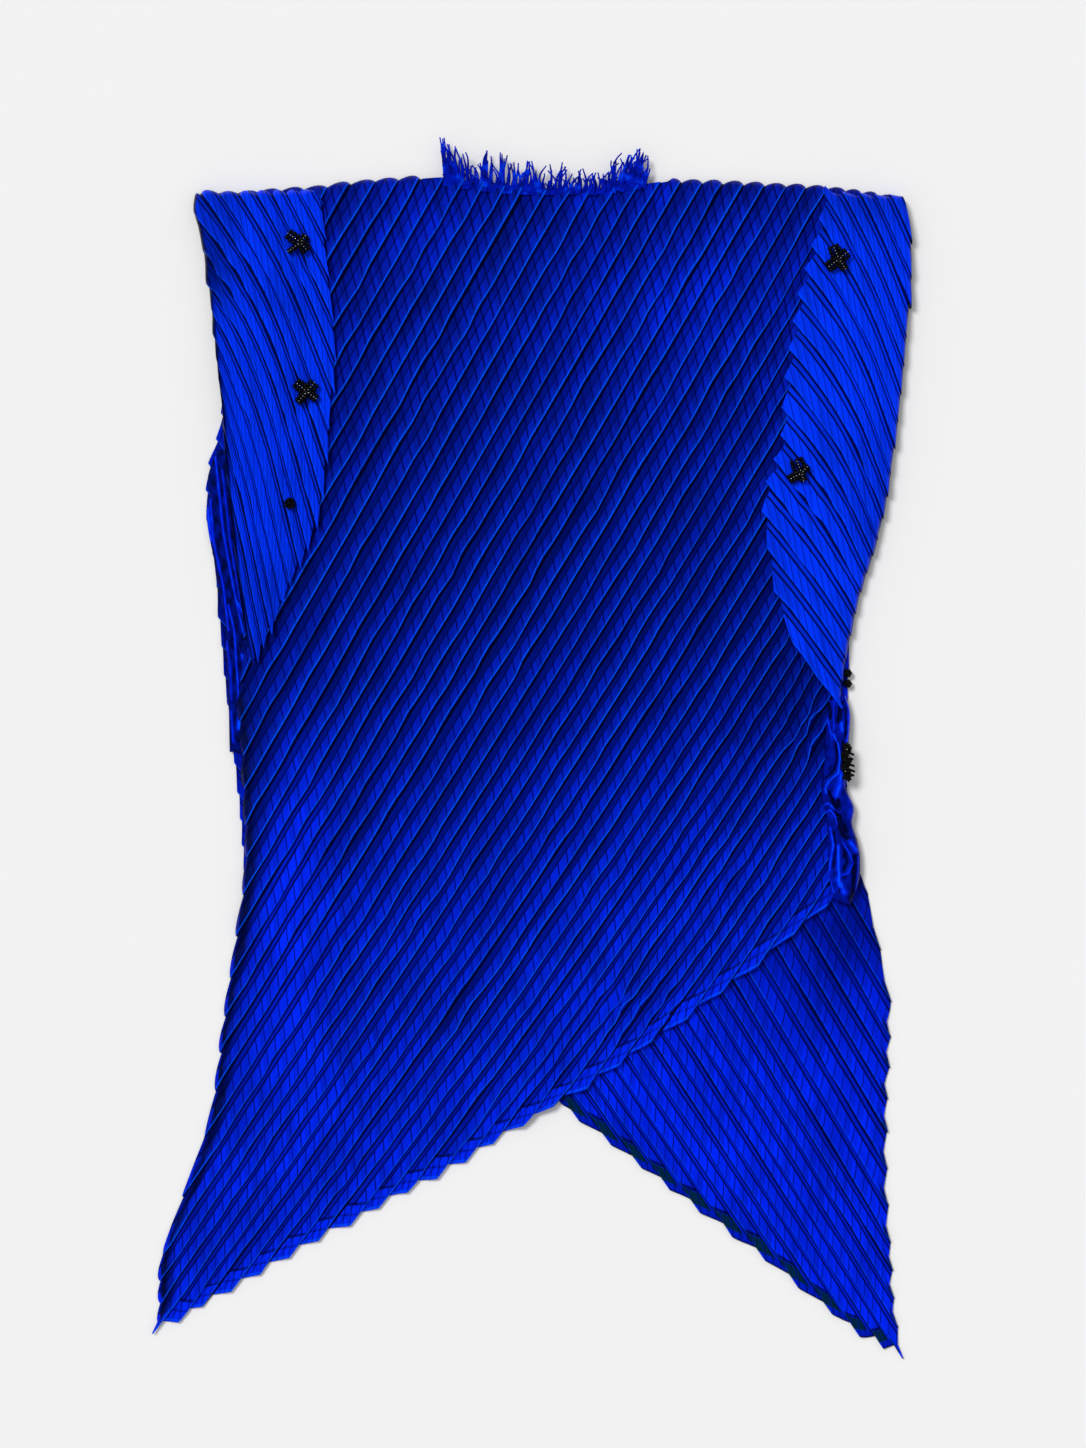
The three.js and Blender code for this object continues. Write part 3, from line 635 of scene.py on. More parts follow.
def cloth_object(name, grid, uv, marks):
    """A grid of points as a thin cloth, with its UV map and its painted marks."""
    columns, rows, _ = grid.shape
    bm = bmesh.new()
    bmesh.ops.create_grid(bm, x_segments=columns - 1, y_segments=rows - 1, size=1.0)
    bm.verts.ensure_lookup_table()
    plan = np.array([v.co[:2] for v in bm.verts])
    i = np.rint((plan[:, 0] + 1) / 2 * (columns - 1)).astype(int)
    j = np.rint((plan[:, 1] + 1) / 2 * (rows - 1)).astype(int)
    for vert, place in zip(bm.verts, grid[i, j]):
        vert.co = place
    layer = bm.loops.layers.uv.new("pleats")
    flat_uv = uv[i, j]
    for face in bm.faces:
        face.smooth = True
        for loop in face.loops:
            loop[layer].uv = flat_uv[loop.vert.index]
    bm.normal_update()
    if sum(face.normal.z * face.calc_area() for face in bm.faces) < 0:
        bmesh.ops.reverse_faces(bm, faces=bm.faces)
    made = object_from(bm, name)
    for mark, values in marks.items():
        painted = made.data.attributes.new(mark, "FLOAT", "POINT")
        painted.data.foreach_set("value", values[i, j].astype(np.float32))
    shell = made.modifiers.new("cloth", "SOLIDIFY")
    shell.thickness = CLOTH
    shell.offset = -1.0
    return made


def ramp(value, low, high):
    """0 below low, 1 above high, and a soft step between them."""
    share = np.clip((value - low) / (high - low), 0, 1)
    return share * share * (3 - 2 * share)


def light_and_shade_patches(ground, rows):
    """A broad tone over the plan with painted light and shade: a ground, and soft lighter and darker
    patches by centre, size and amount.
    """

    def tone_and_painted_light(x, y):
        total = ground(x, y)
        for cx, cy, wide, tall, amount in rows:
            total = total + amount * np.exp(-(((x - cx) / wide) ** 2) - ((y - cy) / tall) ** 2)
        return np.clip(total, 0.02, 1.0)

    return tone_and_painted_light


def even(value):
    """The same value all over the plan."""
    return lambda x, y: value + 0 * x


BACK_EDGES = [
    panel_edge("left shoulder", through=[(-0.215, 0.356), (-0.139, 0.362), (-0.062, 0.366)]),
    panel_edge("neck", through=[(-0.062, 0.366), (0.018, 0.358), (0.077, 0.364)]),
    panel_edge("right shoulder", through=[(0.077, 0.364), (0.150, 0.363), (0.238, 0.356)]),
    panel_edge("right side", through=[
        (0.238, 0.356), (0.2425, 0.310), (0.239, 0.258), (0.231, 0.193), (0.219, 0.130), (0.208, 0.089),
        (0.205, 0.037), (0.205, -0.035), (0.209, -0.067)]),
    panel_edge("tail side", tooth=0.005, ends="open", through=[
        (0.209, -0.067), (0.216, -0.093), (0.226, -0.138), (0.231, -0.165), (0.230, -0.197),
        (0.228, -0.236), (0.229, -0.288), (0.231, -0.327), (0.234, -0.366), (0.2385, -0.391)]),
    panel_edge("hem", tooth=0.010, through=[
        (0.2385, -0.391), (0.210, -0.377), (0.145, -0.326), (0.076, -0.275), (0.015, -0.229)]),
    panel_edge("hidden hem", through=[(0.015, -0.229), (-0.0995, -0.1505), (-0.1866, -0.0917)]),
    panel_edge("left side", tooth=0.002, through=[
        (-0.1866, -0.0917), (-0.191, -0.035), (-0.199, 0.031), (-0.207, 0.115), (-0.212, 0.151),
        (-0.211, 0.176), (-0.202, 0.218), (-0.206, 0.275), (-0.211, 0.315), (-0.215, 0.356)]),
]
# Pleats are counted along a spine that crosses them. Each row has a pleat's number, its
# share of the spine, its heading in degrees and its bend in degrees a tenth of a metre.
BACK_PLEATS = dict(
    spine=((0.243, 0.361), (-0.190, -0.093)),
    rows=[
        (0, 0.0, 118, 0), (19, 0.4, 120.5, 0), (29.2, 0.6, 121, 0), (40.5, 0.8, 124.5, 0),
        (54, 1.0, 128.5, 0)],
)
BACK_DEPTH = 0.0014
# Painted shade on the back: darker below the front's hem and along the left side
back_tone = light_and_shade_patches(even(0.76), [
    (0.215, -0.11, 0.03, 0.05, -0.40),
    (0.165, -0.135, 0.05, 0.045, -0.32),
    (-0.205, 0.08, 0.03, 0.16, -0.55),
])
back = pleated_sheet(
    "back_cloth", BACK_EDGES, BACK_PLEATS, rows=74, base=even(0.0), depth=even(BACK_DEPTH),
    tone_and_painted_light=back_tone, kink=0.0003, seed=11,
)
back.data.materials.append(pleated_cloth(
    "back_cloth", second=0.31, band_shade=0.38, foot_shade=0.10, fold_light=0.30, crease_shade=0.85,
    half_shade=1.0, gap_width=0.115, slope=1.75, bow=-0.55, lined=True,
))
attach(back, "root")
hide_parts("back_panel")

# The front panel lies on the back, with its long point at the lower left. Its pleats
# run up to the right, deepest below the neck and pressed flatter toward the point.
FRONT_BASE = 0.0037
FRONT_EDGES = [
    panel_edge("left shoulder", tooth=0.003, lip=1, ends="round", through=[
        (-0.215, 0.358), (-0.180, 0.361), (-0.139, 0.364), (-0.106, 0.368), (-0.072, 0.370)]),
    panel_edge("neck", through=[
        (-0.072, 0.370), (-0.060, 0.3705), (-0.021, 0.365), (0.018, 0.362), (0.057, 0.365),
        (0.090, 0.368)]),
    panel_edge("right shoulder", tooth=0.003, lip=1, ends="round", through=[
        (0.090, 0.368), (0.140, 0.366), (0.193, 0.363), (0.236, 0.357)]),
    panel_edge("right side", through=[
        (0.236, 0.357), (0.240, 0.310), (0.236, 0.258), (0.228, 0.193), (0.216, 0.130), (0.205, 0.089),
        (0.200, 0.037), (0.198, -0.010), (0.201, -0.070), (0.1996, -0.094)]),
    panel_edge("hem", tooth=0.010, through=[
        (0.1996, -0.094), (0.135, -0.147), (0.082, -0.186), (0.015, -0.230), (-0.060, -0.274),
        (-0.139, -0.317), (-0.216, -0.361), (-0.243, -0.375)]),
    panel_edge("tail side", tooth=0.004, lip=1, ends="round", shaded=(0.0020, 0.0072), through=[
        (-0.243, -0.375), (-0.241, -0.330), (-0.227, -0.291), (-0.209, -0.236), (-0.198, -0.158),
        (-0.187, -0.080), (-0.187, -0.041), (-0.192, 0.031)]),
    panel_edge("left side", through=[
        (-0.192, 0.031), (-0.188, 0.060), (-0.192, 0.115), (-0.1995, 0.226), (-0.207, 0.295),
        (-0.212, 0.325), (-0.215, 0.358)]),
]
FRONT_PLEATS = dict(
    spine=((-0.2197, 0.3653), (0.1996, -0.093)),
    rows=[(0, 0.0, 61, 0), (9.5, 0.2, 60, 0), (19, 0.4, 60, 0), (29.2, 0.6, 58.5, 0.5),
          (40.5, 0.8, 57.3, 1.3), (54, 1.0, 57.5, 2.4)],
)
HEM_CORNER = np.array([-0.1866, -0.0917])
HEM_TOWARD = np.array([0.015, -0.2275])
DROP_START = 0.016
DROP_END = 0.044
FRONT_DEPTH = 0.0020
NECK_DEPTH = 0.0014


def front_base(x, y):
    """The front's underside: on top of the back, and down on the surface past its hem."""
    hem = (HEM_TOWARD - HEM_CORNER) / np.linalg.norm(HEM_TOWARD - HEM_CORNER)
    past = (x - HEM_CORNER[0]) * hem[1] - (y - HEM_CORNER[1]) * hem[0]
    return FRONT_BASE * (1 - ramp(past, DROP_START, DROP_END))


def front_depth(x, y):
    """How deep the front's pleats are: more toward the neck, less under the sleeves."""
    under_left = ramp(-x, 0.125, 0.150) * ramp(y, 0.05, 0.12)
    under_right = ramp(x, 0.150, 0.170) * ramp(y, 0.03, 0.10)
    under_sleeve = under_left + under_right
    open_depth = FRONT_DEPTH + NECK_DEPTH * ramp(y, -0.30, 0.10)
    return open_depth * (1 - under_sleeve) + FRONT_DEPTH * under_sleeve


# Painted light and shade on the front: darker toward the neck, where its deep pleats shade it, with soft
# lighter and darker patches
front_tone = light_and_shade_patches(
    lambda x, y: 0.55 - 0.315 * ramp(y, -0.25, 0.13),
    [
        (-0.157, -0.105, 0.024, 0.11, 0.40),
        (-0.195, -0.040, 0.028, 0.085, -0.36),
        (0.175, 0.020, 0.040, 0.06, -0.16),
        (0.090, 0.290, 0.070, 0.045, 0.20),
        (-0.080, 0.335, 0.030, 0.03, 0.20),
        (0.0340, 0.3560, 0.005, 0.006, 0.40),
        (0.0500, 0.3620, 0.004, 0.004, 0.35),
        (0.0830, 0.3600, 0.004, 0.006, 0.30),
        (-0.060, -0.170, 0.080, 0.03, -0.08),
        (0.080, -0.090, 0.060, 0.04, 0.05),
        (0.045, -0.165, 0.012, 0.012, 0.22),
        (0.070, -0.155, 0.010, 0.018, -0.10),
        (0.092, -0.172, 0.010, 0.010, 0.20),
    ],
)
# Crumpled places: centre, radius and how far they push the pleats
FRONT_CRUMPLES = [
    (0.060, -0.172, 0.018, 0.0017), (0.088, -0.166, 0.012, 0.0016), (0.180, 0.012, 0.018, 0.0020)]
front = pleated_sheet(
    "front_cloth", FRONT_EDGES, FRONT_PLEATS, rows=88, base=front_base, depth=front_depth,
    tone_and_painted_light=front_tone, kink=0.0006, seed=5, crumples=FRONT_CRUMPLES,
)
front.data.materials.append(pleated_cloth(
    "front_cloth", second=0.44, band_shade=0.58, foot_shade=0.70, fold_light=1.0, crease_shade=0.95,
    half_shade=1.0, slope=0.98, narrowing=0.14, latticed=True, stitched=True,
))
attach(front, "root")
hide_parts("front_panel")

# The sleeves are short, wide and cut in one with the shoulders. Each is folded in
# over the front along the garment's side, two layers thick, with a soft turned fold
# down its outer side and a jagged opening where its pleats end.
SLEEVE_BASE = 0.0078
SLEEVE_DEPTH = 0.0022
LEFT_SLEEVE_EDGES = [
    panel_edge("shoulder fold", tooth=0.003, lip=1, ends="round", through=[
        (-0.220, 0.360), (-0.190, 0.360), (-0.139, 0.361)]),
    panel_edge("opening", tooth=0.006, through=[
        (-0.139, 0.361), (-0.135, 0.313), (-0.130, 0.262), (-0.134, 0.205), (-0.142, 0.148),
        (-0.159, 0.108), (-0.183, 0.055)]),
    panel_edge("side fold", tooth=0.001, lip=1, shaded=(-0.01, 0.0026), through=[
        (-0.183, 0.055), (-0.188, 0.082), (-0.198, 0.161), (-0.2035, 0.226), (-0.211, 0.300),
        (-0.217, 0.335), (-0.221, 0.350), (-0.220, 0.360)]),
]
LEFT_SLEEVE_PLEATS = dict(
    spine=((-0.1865, 0.062), (-0.1395, 0.359)), bends_up=True,
    rows=[(0, 0.0, 101, 0), (4, 0.22, 102, 4), (8.6, 0.5, 105, 20), (13, 0.75, 112, 14), (18, 1.0, 119, 4)],
)
RIGHT_SLEEVE_EDGES = [
    panel_edge("shoulder fold", tooth=0.002, lip=1, through=[
        (0.192, 0.361), (0.216, 0.359), (0.241, 0.358)]),
    panel_edge("side fold", tooth=0.001, lip=1, shaded=(-0.01, 0.0009), through=[
        (0.241, 0.358), (0.245, 0.340), (0.2463, 0.310), (0.243, 0.265), (0.235, 0.193), (0.226, 0.141),
        (0.213, 0.100), (0.203, 0.053), (0.200, 0.030)]),
    panel_edge("opening", tooth=0.006, through=[
        (0.200, 0.030), (0.192, 0.030), (0.173, 0.060), (0.158, 0.110), (0.153, 0.159), (0.164, 0.196),
        (0.168, 0.240), (0.177, 0.294), (0.187, 0.331), (0.192, 0.361)]),
]
RIGHT_SLEEVE_PLEATS = dict(
    spine=((0.196, 0.030), (0.243, 0.357)), bends_up=True,
    rows=[
        (0, 0.0, 125, 8), (4, 0.2, 120, 12), (8, 0.4, 112, 24), (11.3, 0.565, 109, 24),
        (15, 0.75, 111, 12), (20, 1.0, 114, 3)],
)
# Painted shade on the sleeves: darker patches along their edges and crumples
left_tone = light_and_shade_patches(even(0.92), [
    (-0.205, 0.350, 0.03, 0.03, -0.30),
    (-0.165, 0.10, 0.03, 0.05, -0.25),
    (-0.160, 0.285, 0.015, 0.02, -0.2),
    (-0.209, 0.305, 0.010, 0.028, -0.66),
    (-0.205, 0.20, 0.006, 0.06, -0.4),
])
right_tone = light_and_shade_patches(even(0.95), [
    (0.235, 0.10, 0.03, 0.06, -0.20),
    (0.20, 0.355, 0.05, 0.022, -0.34),
])
LEFT_CRUMPLES = [
    (-0.205, 0.305, 0.024, 0.0020), (-0.150, 0.318, 0.014, 0.0014), (-0.150, 0.220, 0.014, 0.0012)]
RIGHT_CRUMPLES = [(0.196, 0.318, 0.014, 0.0012), (0.180, 0.160, 0.020, 0.0018)]
for name, node, edges, pleats, tone_and_painted_light, crumples, gap, seed in (
    (
        "left_sleeve_cloth", "left_sleeve", LEFT_SLEEVE_EDGES, LEFT_SLEEVE_PLEATS, left_tone,
        LEFT_CRUMPLES, 0.19, 21,
    ), (
        "right_sleeve_cloth", "right_sleeve", RIGHT_SLEEVE_EDGES, RIGHT_SLEEVE_PLEATS, right_tone,
        RIGHT_CRUMPLES, 0.12, 22,
    ),
):
    sleeve = pleated_sheet(
        name, edges, pleats, rows=64, base=even(SLEEVE_BASE), depth=even(SLEEVE_DEPTH),
        tone_and_painted_light=tone_and_painted_light, kink=0.0005, seed=seed, fold_first=True, crumples=crumples,
    )
    sleeve.data.materials.append(pleated_cloth(
        name, second=0.32, band_shade=0.24, foot_shade=0.34, fold_light=0.30, crease_shade=0.75,
        half_shade=1.0, gap_width=gap, slope=1.6, face_blue=SLEEVE_BLUE,
    ))
    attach(sleeve, "root")
    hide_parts(node)


# The neck's raw edge is torn and combed out into tufts of loose thread, tallest at
# both ends of the neckline. Each tuft starts broad on the cloth and splits into
# curled single threads.
FRINGE_LEVEL = 0.0062
THREAD_RADIUS = 0.00022
TUFT_WIDTH = 0.0062
TUFT_ROOT = 0.0050
TIP_WIDTH = 0.0022
TIP_STRAY = 0.0006
TUFT_BOW = 0.0009
THREAD_CURL = 0.0010
THREAD_RISE = 0.0022
THREAD_ARCH = 0.0012
THREAD_STEPS = 7
ROOT_THICKNESS = 5.4
THREAD_TAPER = 3.5

# The photograph's scale in metres a pixel, and its pixel at the garment's origin
PIXEL = 0.00065
PHOTO_ORIGIN = (533.0, 747.0)

# The short threads all along the neckline: its left end and width in photograph pixels
NECKLINE_START = (444, 178)
NECKLINE_WIDTH = 200
NECKLINE_SAG = 9
SHORT_THREADS = 90
SHORT_LEAN = 0.0018
SHORT_LENGTHS = (0.0015, 0.0048)
SHORT_STEPS = (0.0, 0.35, 0.7, 1.0)
SHORT_THICKNESSES = (4.4, 3.8, 2.8, 1.6)
FRINGE_TUFTS = [
    # tip column, tip row, foot column, foot row, threads, spread
    (441, 137, 449, 172, 8, 2.0), (447, 140, 452, 174, 6, 1.5), (454, 146, 458, 176, 6, 2.0),
    (461, 151, 464, 177, 5, 2.0), (470, 165, 472, 180, 4, 2.0), (479, 160, 480, 179, 4, 2.0),
    (487, 150, 486, 179, 6, 2.0), (494, 162, 492, 180, 4, 2.0), (504, 152, 500, 180, 7, 2.0),
    (514, 162, 511, 181, 5, 2.0), (521, 168, 519, 182, 4, 2.0), (530, 158, 526, 183, 7, 1.8),
    (539, 171, 537, 184, 4, 2.0), (551, 164, 546, 184, 5, 2.0), (565, 161, 559, 185, 6, 1.8),
    (573, 174, 570, 186, 3, 2.0), (581, 168, 577, 186, 5, 2.0), (589, 177, 587, 186, 3, 2.0),
    (597, 172, 592, 186, 5, 2.0), (603, 178, 601, 186, 3, 2.0), (609, 171, 605, 185, 5, 1.6),
    (618, 160, 611, 184, 7, 2.2), (628, 151, 619, 183, 8, 2.4), (634, 158, 626, 182, 6, 2.0),
    (641, 146, 631, 181, 8, 2.2), (646, 153, 636, 180, 6, 1.8), (649, 163, 641, 179, 5, 1.8),
]


def photo_place(column, row):
    """A place on the garment in metres from its place in the photograph in pixels."""
    return np.array([(column - PHOTO_ORIGIN[0]) * PIXEL, (PHOTO_ORIGIN[1] - row) * PIXEL])


def threads(name, strands, radius):
    """Loose threads as one mesh: each strand is a thin round cord through its points."""
    curve = bpy.data.curves.new(name, "CURVE")
    curve.dimensions = "3D"
    curve.bevel_depth = radius
    curve.bevel_resolution = 0
    curve.use_fill_caps = True
    for points, widths in strands:
        line = curve.splines.new("POLY")
        line.points.add(len(points) - 1)
        for knot, place, width in zip(line.points, points, widths):
            knot.co = (*place, 1.0)
            knot.radius = width
    drawn = bpy.data.objects.new(name, curve)
    mesh = bpy.data.meshes.new_from_object(drawn)
    mesh.name = name
    bpy.data.objects.remove(drawn)
    made = bpy.data.objects.new(name, mesh)
    scene.collection.objects.link(made)
    for face in mesh.polygons:
        face.use_smooth = True
    return made


chance = np.random.default_rng(31)
strands = []
for tip_x, tip_y, foot_x, foot_y, count, spread in FRINGE_TUFTS:
    tip = photo_place(tip_x, tip_y)
    foot = photo_place(foot_x, foot_y)
    across = np.array([tip[1] - foot[1], foot[0] - tip[0]])
    across = across / np.linalg.norm(across)
    for strand in range(count):
        side = (strand + 0.5) / count - 0.5
        start = foot + across * side * TUFT_WIDTH + (0, -TUFT_ROOT)
        length = chance.uniform(0.62, 1.0)
        aside = side * TIP_WIDTH * spread + chance.normal(0, TIP_STRAY)
        end = foot + (tip - foot) * length + across * aside
        bow = across * chance.normal(0, TUFT_BOW) * spread
        curl = across * chance.normal(0, THREAD_CURL)
        rise = chance.uniform(0.0, THREAD_RISE)
        points = []
        widths = []
        for s in np.arange(THREAD_STEPS + 1) / THREAD_STEPS:
            place = start * (1 - s) + end * s + bow * math.sin(math.pi * s) + curl * math.sin(5.0 * s) * s
            level = FRINGE_LEVEL + rise * s + THREAD_ARCH * math.sin(math.pi * s)
            points.append((place[0], place[1], level))
            widths.append(ROOT_THICKNESS - THREAD_TAPER * s**0.8)
        strands.append((points, widths))
for place in np.linspace(0, 1, SHORT_THREADS):
    sag = NECKLINE_SAG * math.sin(math.pi * min(1, place * 1.02))
    foot = photo_place(NECKLINE_START[0] + NECKLINE_WIDTH * place, NECKLINE_START[1] + sag)
    lean = chance.normal(0, SHORT_LEAN)
    length = chance.uniform(*SHORT_LENGTHS)
    points = [
        (
            foot[0] + lean * s * s,
            foot[1] - TUFT_ROOT + (length + TUFT_ROOT) * s,
            FRINGE_LEVEL - 0.0004 + 0.001 * s,
        )
        for s in SHORT_STEPS
    ]
    strands.append((points, SHORT_THICKNESSES))
fringe = threads("neck_fringe_threads", strands, THREAD_RADIUS)
thread_blue = Shader("frayed_thread")
ply = thread_blue.noise(thread_blue.object_point(), 900.0, 1.0)
clump = thread_blue.noise(thread_blue.object_point(), 160.0, 1.0)
# Painted light and shade on the threads: darker between clumps, with a painted highlight on the lightest
satin(
    thread_blue, level=clump * 0.95 + ply * 0.25 - 0.16, fold=clump.smooth(0.54, 0.70) * 0.45,
    height=ply, roughness=0.55 + (ply - 0.5) * 0.2,
)
fringe.data.materials.append(thread_blue.material)
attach(fringe, "root")
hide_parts("neck_fringe")

# The trimmings are hand-sewn crosses of glossy black glass beads. Each arm is a
# flat loop of round beads, two abreast, tied down along its middle with a line of
# tiny silvery beads.
BEAD_RADIUS = 0.00145
SILVER_RADIUS = 0.00032
BEAD_SIDES = 8
SILVER_SIDES = 6
BEAD_PITCH = 1.75
SILVER_PITCH = 0.0020
ARM_BEAD_SIZE = 1.08
MIDDLE_LIFT = 0.0003
CENTRE_LIFT = 0.0002
ARM_DROP = 0.0006
ARM_MARGIN = 1.5
GLASS_BLACK = (0.0003, 0.0003, 0.0004, 1)
GLASS_SHINE = (0.0025, 0.0025, 0.0030, 1)
GLASS_GLOSS = 0.06
SILVER_WHITE = (0.85, 0.84, 0.80, 1)
SILVER_BLUE = (0.50, 0.60, 0.85, 1)
SILVER_METAL = 0.85

glass = Shader("black_glass_bead")
# Black glass, lighter in smears of painted sheen, which also change its roughness
smear_and_sheen = glass.noise(glass.object_point(), 700.0, 1.0)
glass.feed(glass.surface.inputs["Base Color"], glass.mix(smear_and_sheen, GLASS_BLACK, GLASS_SHINE))
glass.feed(glass.surface.inputs["Roughness"], smear_and_sheen * 0.16 + 0.16)
glass.surface.inputs["Specular IOR Level"].default_value = GLASS_GLOSS
silver = Shader("silvery_bead")
shine = silver.noise(silver.object_point(), 900.0, 1.0)
silver.feed(silver.surface.inputs["Base Color"], silver.mix(shine, SILVER_WHITE, SILVER_BLUE))
silver.feed(silver.surface.inputs["Roughness"], shine * 0.3 + 0.15)
silver.surface.inputs["Metallic"].default_value = SILVER_METAL


def bead(bm, place, radius, sides, material=0):
    made = bmesh.ops.create_uvsphere(
        bm, u_segments=sides, v_segments=sides - 2, radius=radius, matrix=Matrix.Translation(place),
    )
    for vert in made["verts"]:
        for face in vert.link_faces:
            face.material_index = material
            face.smooth = True


def bead_arm(bm, start, end, width, level):
    """An arm from start to end: two rows of beads, a raised one between them, and a line
    of silvery beads along the top."""
    run = end - start
    length = np.linalg.norm(run)
    ahead = run / length
    aside = np.array([ahead[1], -ahead[0]])
    count = max(2, round(length / (BEAD_RADIUS * BEAD_PITCH)))
    for number in range(count):
        s = (number + 0.5) / count
        swell = 0.35 + 0.65 * math.sin(math.pi * (0.15 + 0.62 * s))
        for side in (-1, 1):
            place = start + ahead * length * s + aside * side * (width / 2 - BEAD_RADIUS) * swell
            bead(bm, (place[0], place[1], level), BEAD_RADIUS * ARM_BEAD_SIZE, BEAD_SIDES)
        place = start + ahead * length * s
        bead(bm, (place[0], place[1], level + MIDDLE_LIFT), BEAD_RADIUS, BEAD_SIDES)
    for s in np.arange(0.20, 0.98, SILVER_PITCH / length):
        place = start + ahead * length * s
        top = level + BEAD_RADIUS + MIDDLE_LIFT
        bead(bm, (place[0], place[1], top), SILVER_RADIUS, SILVER_SIDES, 1)


def bead_ring(bm, middle, count, reach, level):
    """Beads side by side in a ring around a place."""
    for turn in range(count):
        angle = math.tau * turn / count
        place = (middle[0] + reach[0] * math.cos(angle), middle[1] + reach[1] * math.sin(angle), level)
        bead(bm, place, BEAD_RADIUS, BEAD_SIDES)


def bugle(bm, start, end, radius, level):
    """A short glass tube from start to end, left with flat sides as such tubes have."""
    run = Vector((end[0] - start[0], end[1] - start[1], 0.0))
    middle = Vector(((start[0] + end[0]) / 2, (start[1] + end[1]) / 2, level))
    made = bmesh.ops.create_cone(
        bm, cap_ends=True, segments=6, radius1=radius, radius2=radius * 0.8, depth=run.length,
        matrix=Matrix.Translation(middle) @ run.to_track_quat("Z", "Y").to_matrix().to_4x4(),
    )
    for vert in made["verts"]:
        for face in vert.link_faces:
            face.smooth = False


# Each ornament: its node, its centre, and its arms' ends and widths, in photograph pixels
ORNAMENTS = [
    ("bead_cross_left_top", (301.6, 244.0), [
        ((288.0, 234.5), 11), ((308.0, 252.5), 11), ((288.5, 253.5), 5), ((307.0, 236.0), 8)]),
    ("bead_cross_left_mid", (307.6, 392.6), [
        ((296.0, 383.0), 11), ((315.8, 383.0), 11), ((317.6, 400.2), 8), ((298.2, 403.6), 8)]),
    ("bead_cross_right_top", (837.9, 260.8), [
        ((832.0, 246.5), 12), ((847.0, 253.0), 11), ((826.5, 269.0), 11), ((844.8, 271.0), 8)]),
    ("bead_cross_right_mid", (800.8, 473.7), [
        ((795.0, 459.5), 14), ((807.6, 466.6), 6), ((788.0, 480.5), 9), ((802.8, 482.4), 7)]),
]
for node, centre, arms in ORNAMENTS:
    low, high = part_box(node)
    level = high[2] - BEAD_RADIUS - ARM_DROP
    bm = bmesh.new()
    middle = photo_place(*centre)
    for end, width in arms:
        bead_arm(bm, middle, photo_place(*end), (width + ARM_MARGIN) * PIXEL, level)
    bead(bm, (middle[0], middle[1], level + CENTRE_LIFT), BEAD_RADIUS, BEAD_SIDES)
    cross = object_from(bm, node + "_beads")
    cross.data.materials.append(glass.material)
    cross.data.materials.append(silver.material)
    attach(cross, "root")
    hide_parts(node)

# A single knot of beads lower on the left sleeve, and two clusters on the right side
# seam that hang out past the edge: two round lobes, and a fan of short glass tubes.
# Sizes in metres: how far a ring's beads lie from its middle, and how far the beads'
# centres lie below the top of the solid that they stand for
KNOT_REACH = (0.0026, 0.0026)
KNOT_BEAD_SIZE = 1.1
KNOT_DROP = 0.0022
KNOT_TOP_DROP = 0.0017
LOBE_REACH = (0.0016, 0.0015)
LOBE_DROP = 0.0018
LOBE_TOP_DROP = 0.0013
FAN_DROP = 0.0020
FAN_UNEVEN = (-0.0006, 0.0003)
TUBE_RADIUS = 0.0010
TUBE_DROP = 0.0003

# Places in photograph pixels
KNOT_PLACE = (290.5, 504.0)
LOBE_PLACES = ((848.0, 673.0), (848.0, 683.6))
FAN_START = (845.5, 745.0)
FAN_ROWS = 13
FAN_PITCH = 2.7
FAN_SWAY = 1.5
FAN_STRAY = 0.8
FAN_COLUMNS = (-2.2, 0.2, 2.4)
TUBE_ROOT = 846.5
TUBE_SLANT = 3.0
TUBE_ENDS = (
    (853.4, 754.8), (852.6, 759.5), (853.8, 766.1), (854.3, 771.5), (853.4, 775.6), (850.6, 779.6),
    (848.6, 781.5))
FAN_SILVERS = ((846.0, 749.0), (848.0, 757.0), (850.0, 768.0), (844.5, 771.0))

low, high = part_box("bead_left_low")
bm = bmesh.new()
middle = photo_place(*KNOT_PLACE)
bead_ring(bm, middle, 7, KNOT_REACH, high[2] - KNOT_DROP)
bead(bm, (middle[0], middle[1], high[2] - KNOT_TOP_DROP), BEAD_RADIUS * KNOT_BEAD_SIZE, BEAD_SIDES)
knot = object_from(bm, "bead_left_low_beads")

low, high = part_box("bead_right_side_upper")
bm = bmesh.new()
for centre in LOBE_PLACES:
    middle = photo_place(*centre)
    bead_ring(bm, middle, 6, LOBE_REACH, high[2] - LOBE_DROP)
    bead(bm, (middle[0], middle[1], high[2] - LOBE_TOP_DROP), BEAD_RADIUS, BEAD_SIDES)
side_upper = object_from(bm, "bead_right_side_upper_beads")

low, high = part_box("bead_right_side_lower")
bm = bmesh.new()
chance = np.random.default_rng(41)
level = high[2] - FAN_DROP
for row in range(FAN_ROWS):
    column = FAN_START[0] + FAN_SWAY * math.sin(row * 1.3)
    line = FAN_START[1] + row * FAN_PITCH
    for side in FAN_COLUMNS:
        place = photo_place(column + side, line + chance.uniform(-FAN_STRAY, FAN_STRAY))
        bead(bm, (place[0], place[1], level + chance.uniform(*FAN_UNEVEN)), BEAD_RADIUS, BEAD_SIDES)
for end in TUBE_ENDS:
    start = photo_place(TUBE_ROOT, end[1] - TUBE_SLANT)
    bugle(bm, start, photo_place(*end), TUBE_RADIUS, level - TUBE_DROP)
for centre in FAN_SILVERS:
    place = photo_place(*centre)
    bead(bm, (place[0], place[1], level + BEAD_RADIUS), SILVER_RADIUS, SILVER_SIDES, 1)
side_lower = object_from(bm, "bead_right_side_lower_beads")

for piece, node in (
    (knot, "bead_left_low"), (side_upper, "bead_right_side_upper"), (side_lower, "bead_right_side_lower"),
):
    piece.data.materials.append(glass.material)
    piece.data.materials.append(silver.material)
    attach(piece, "root")
    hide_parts(node)

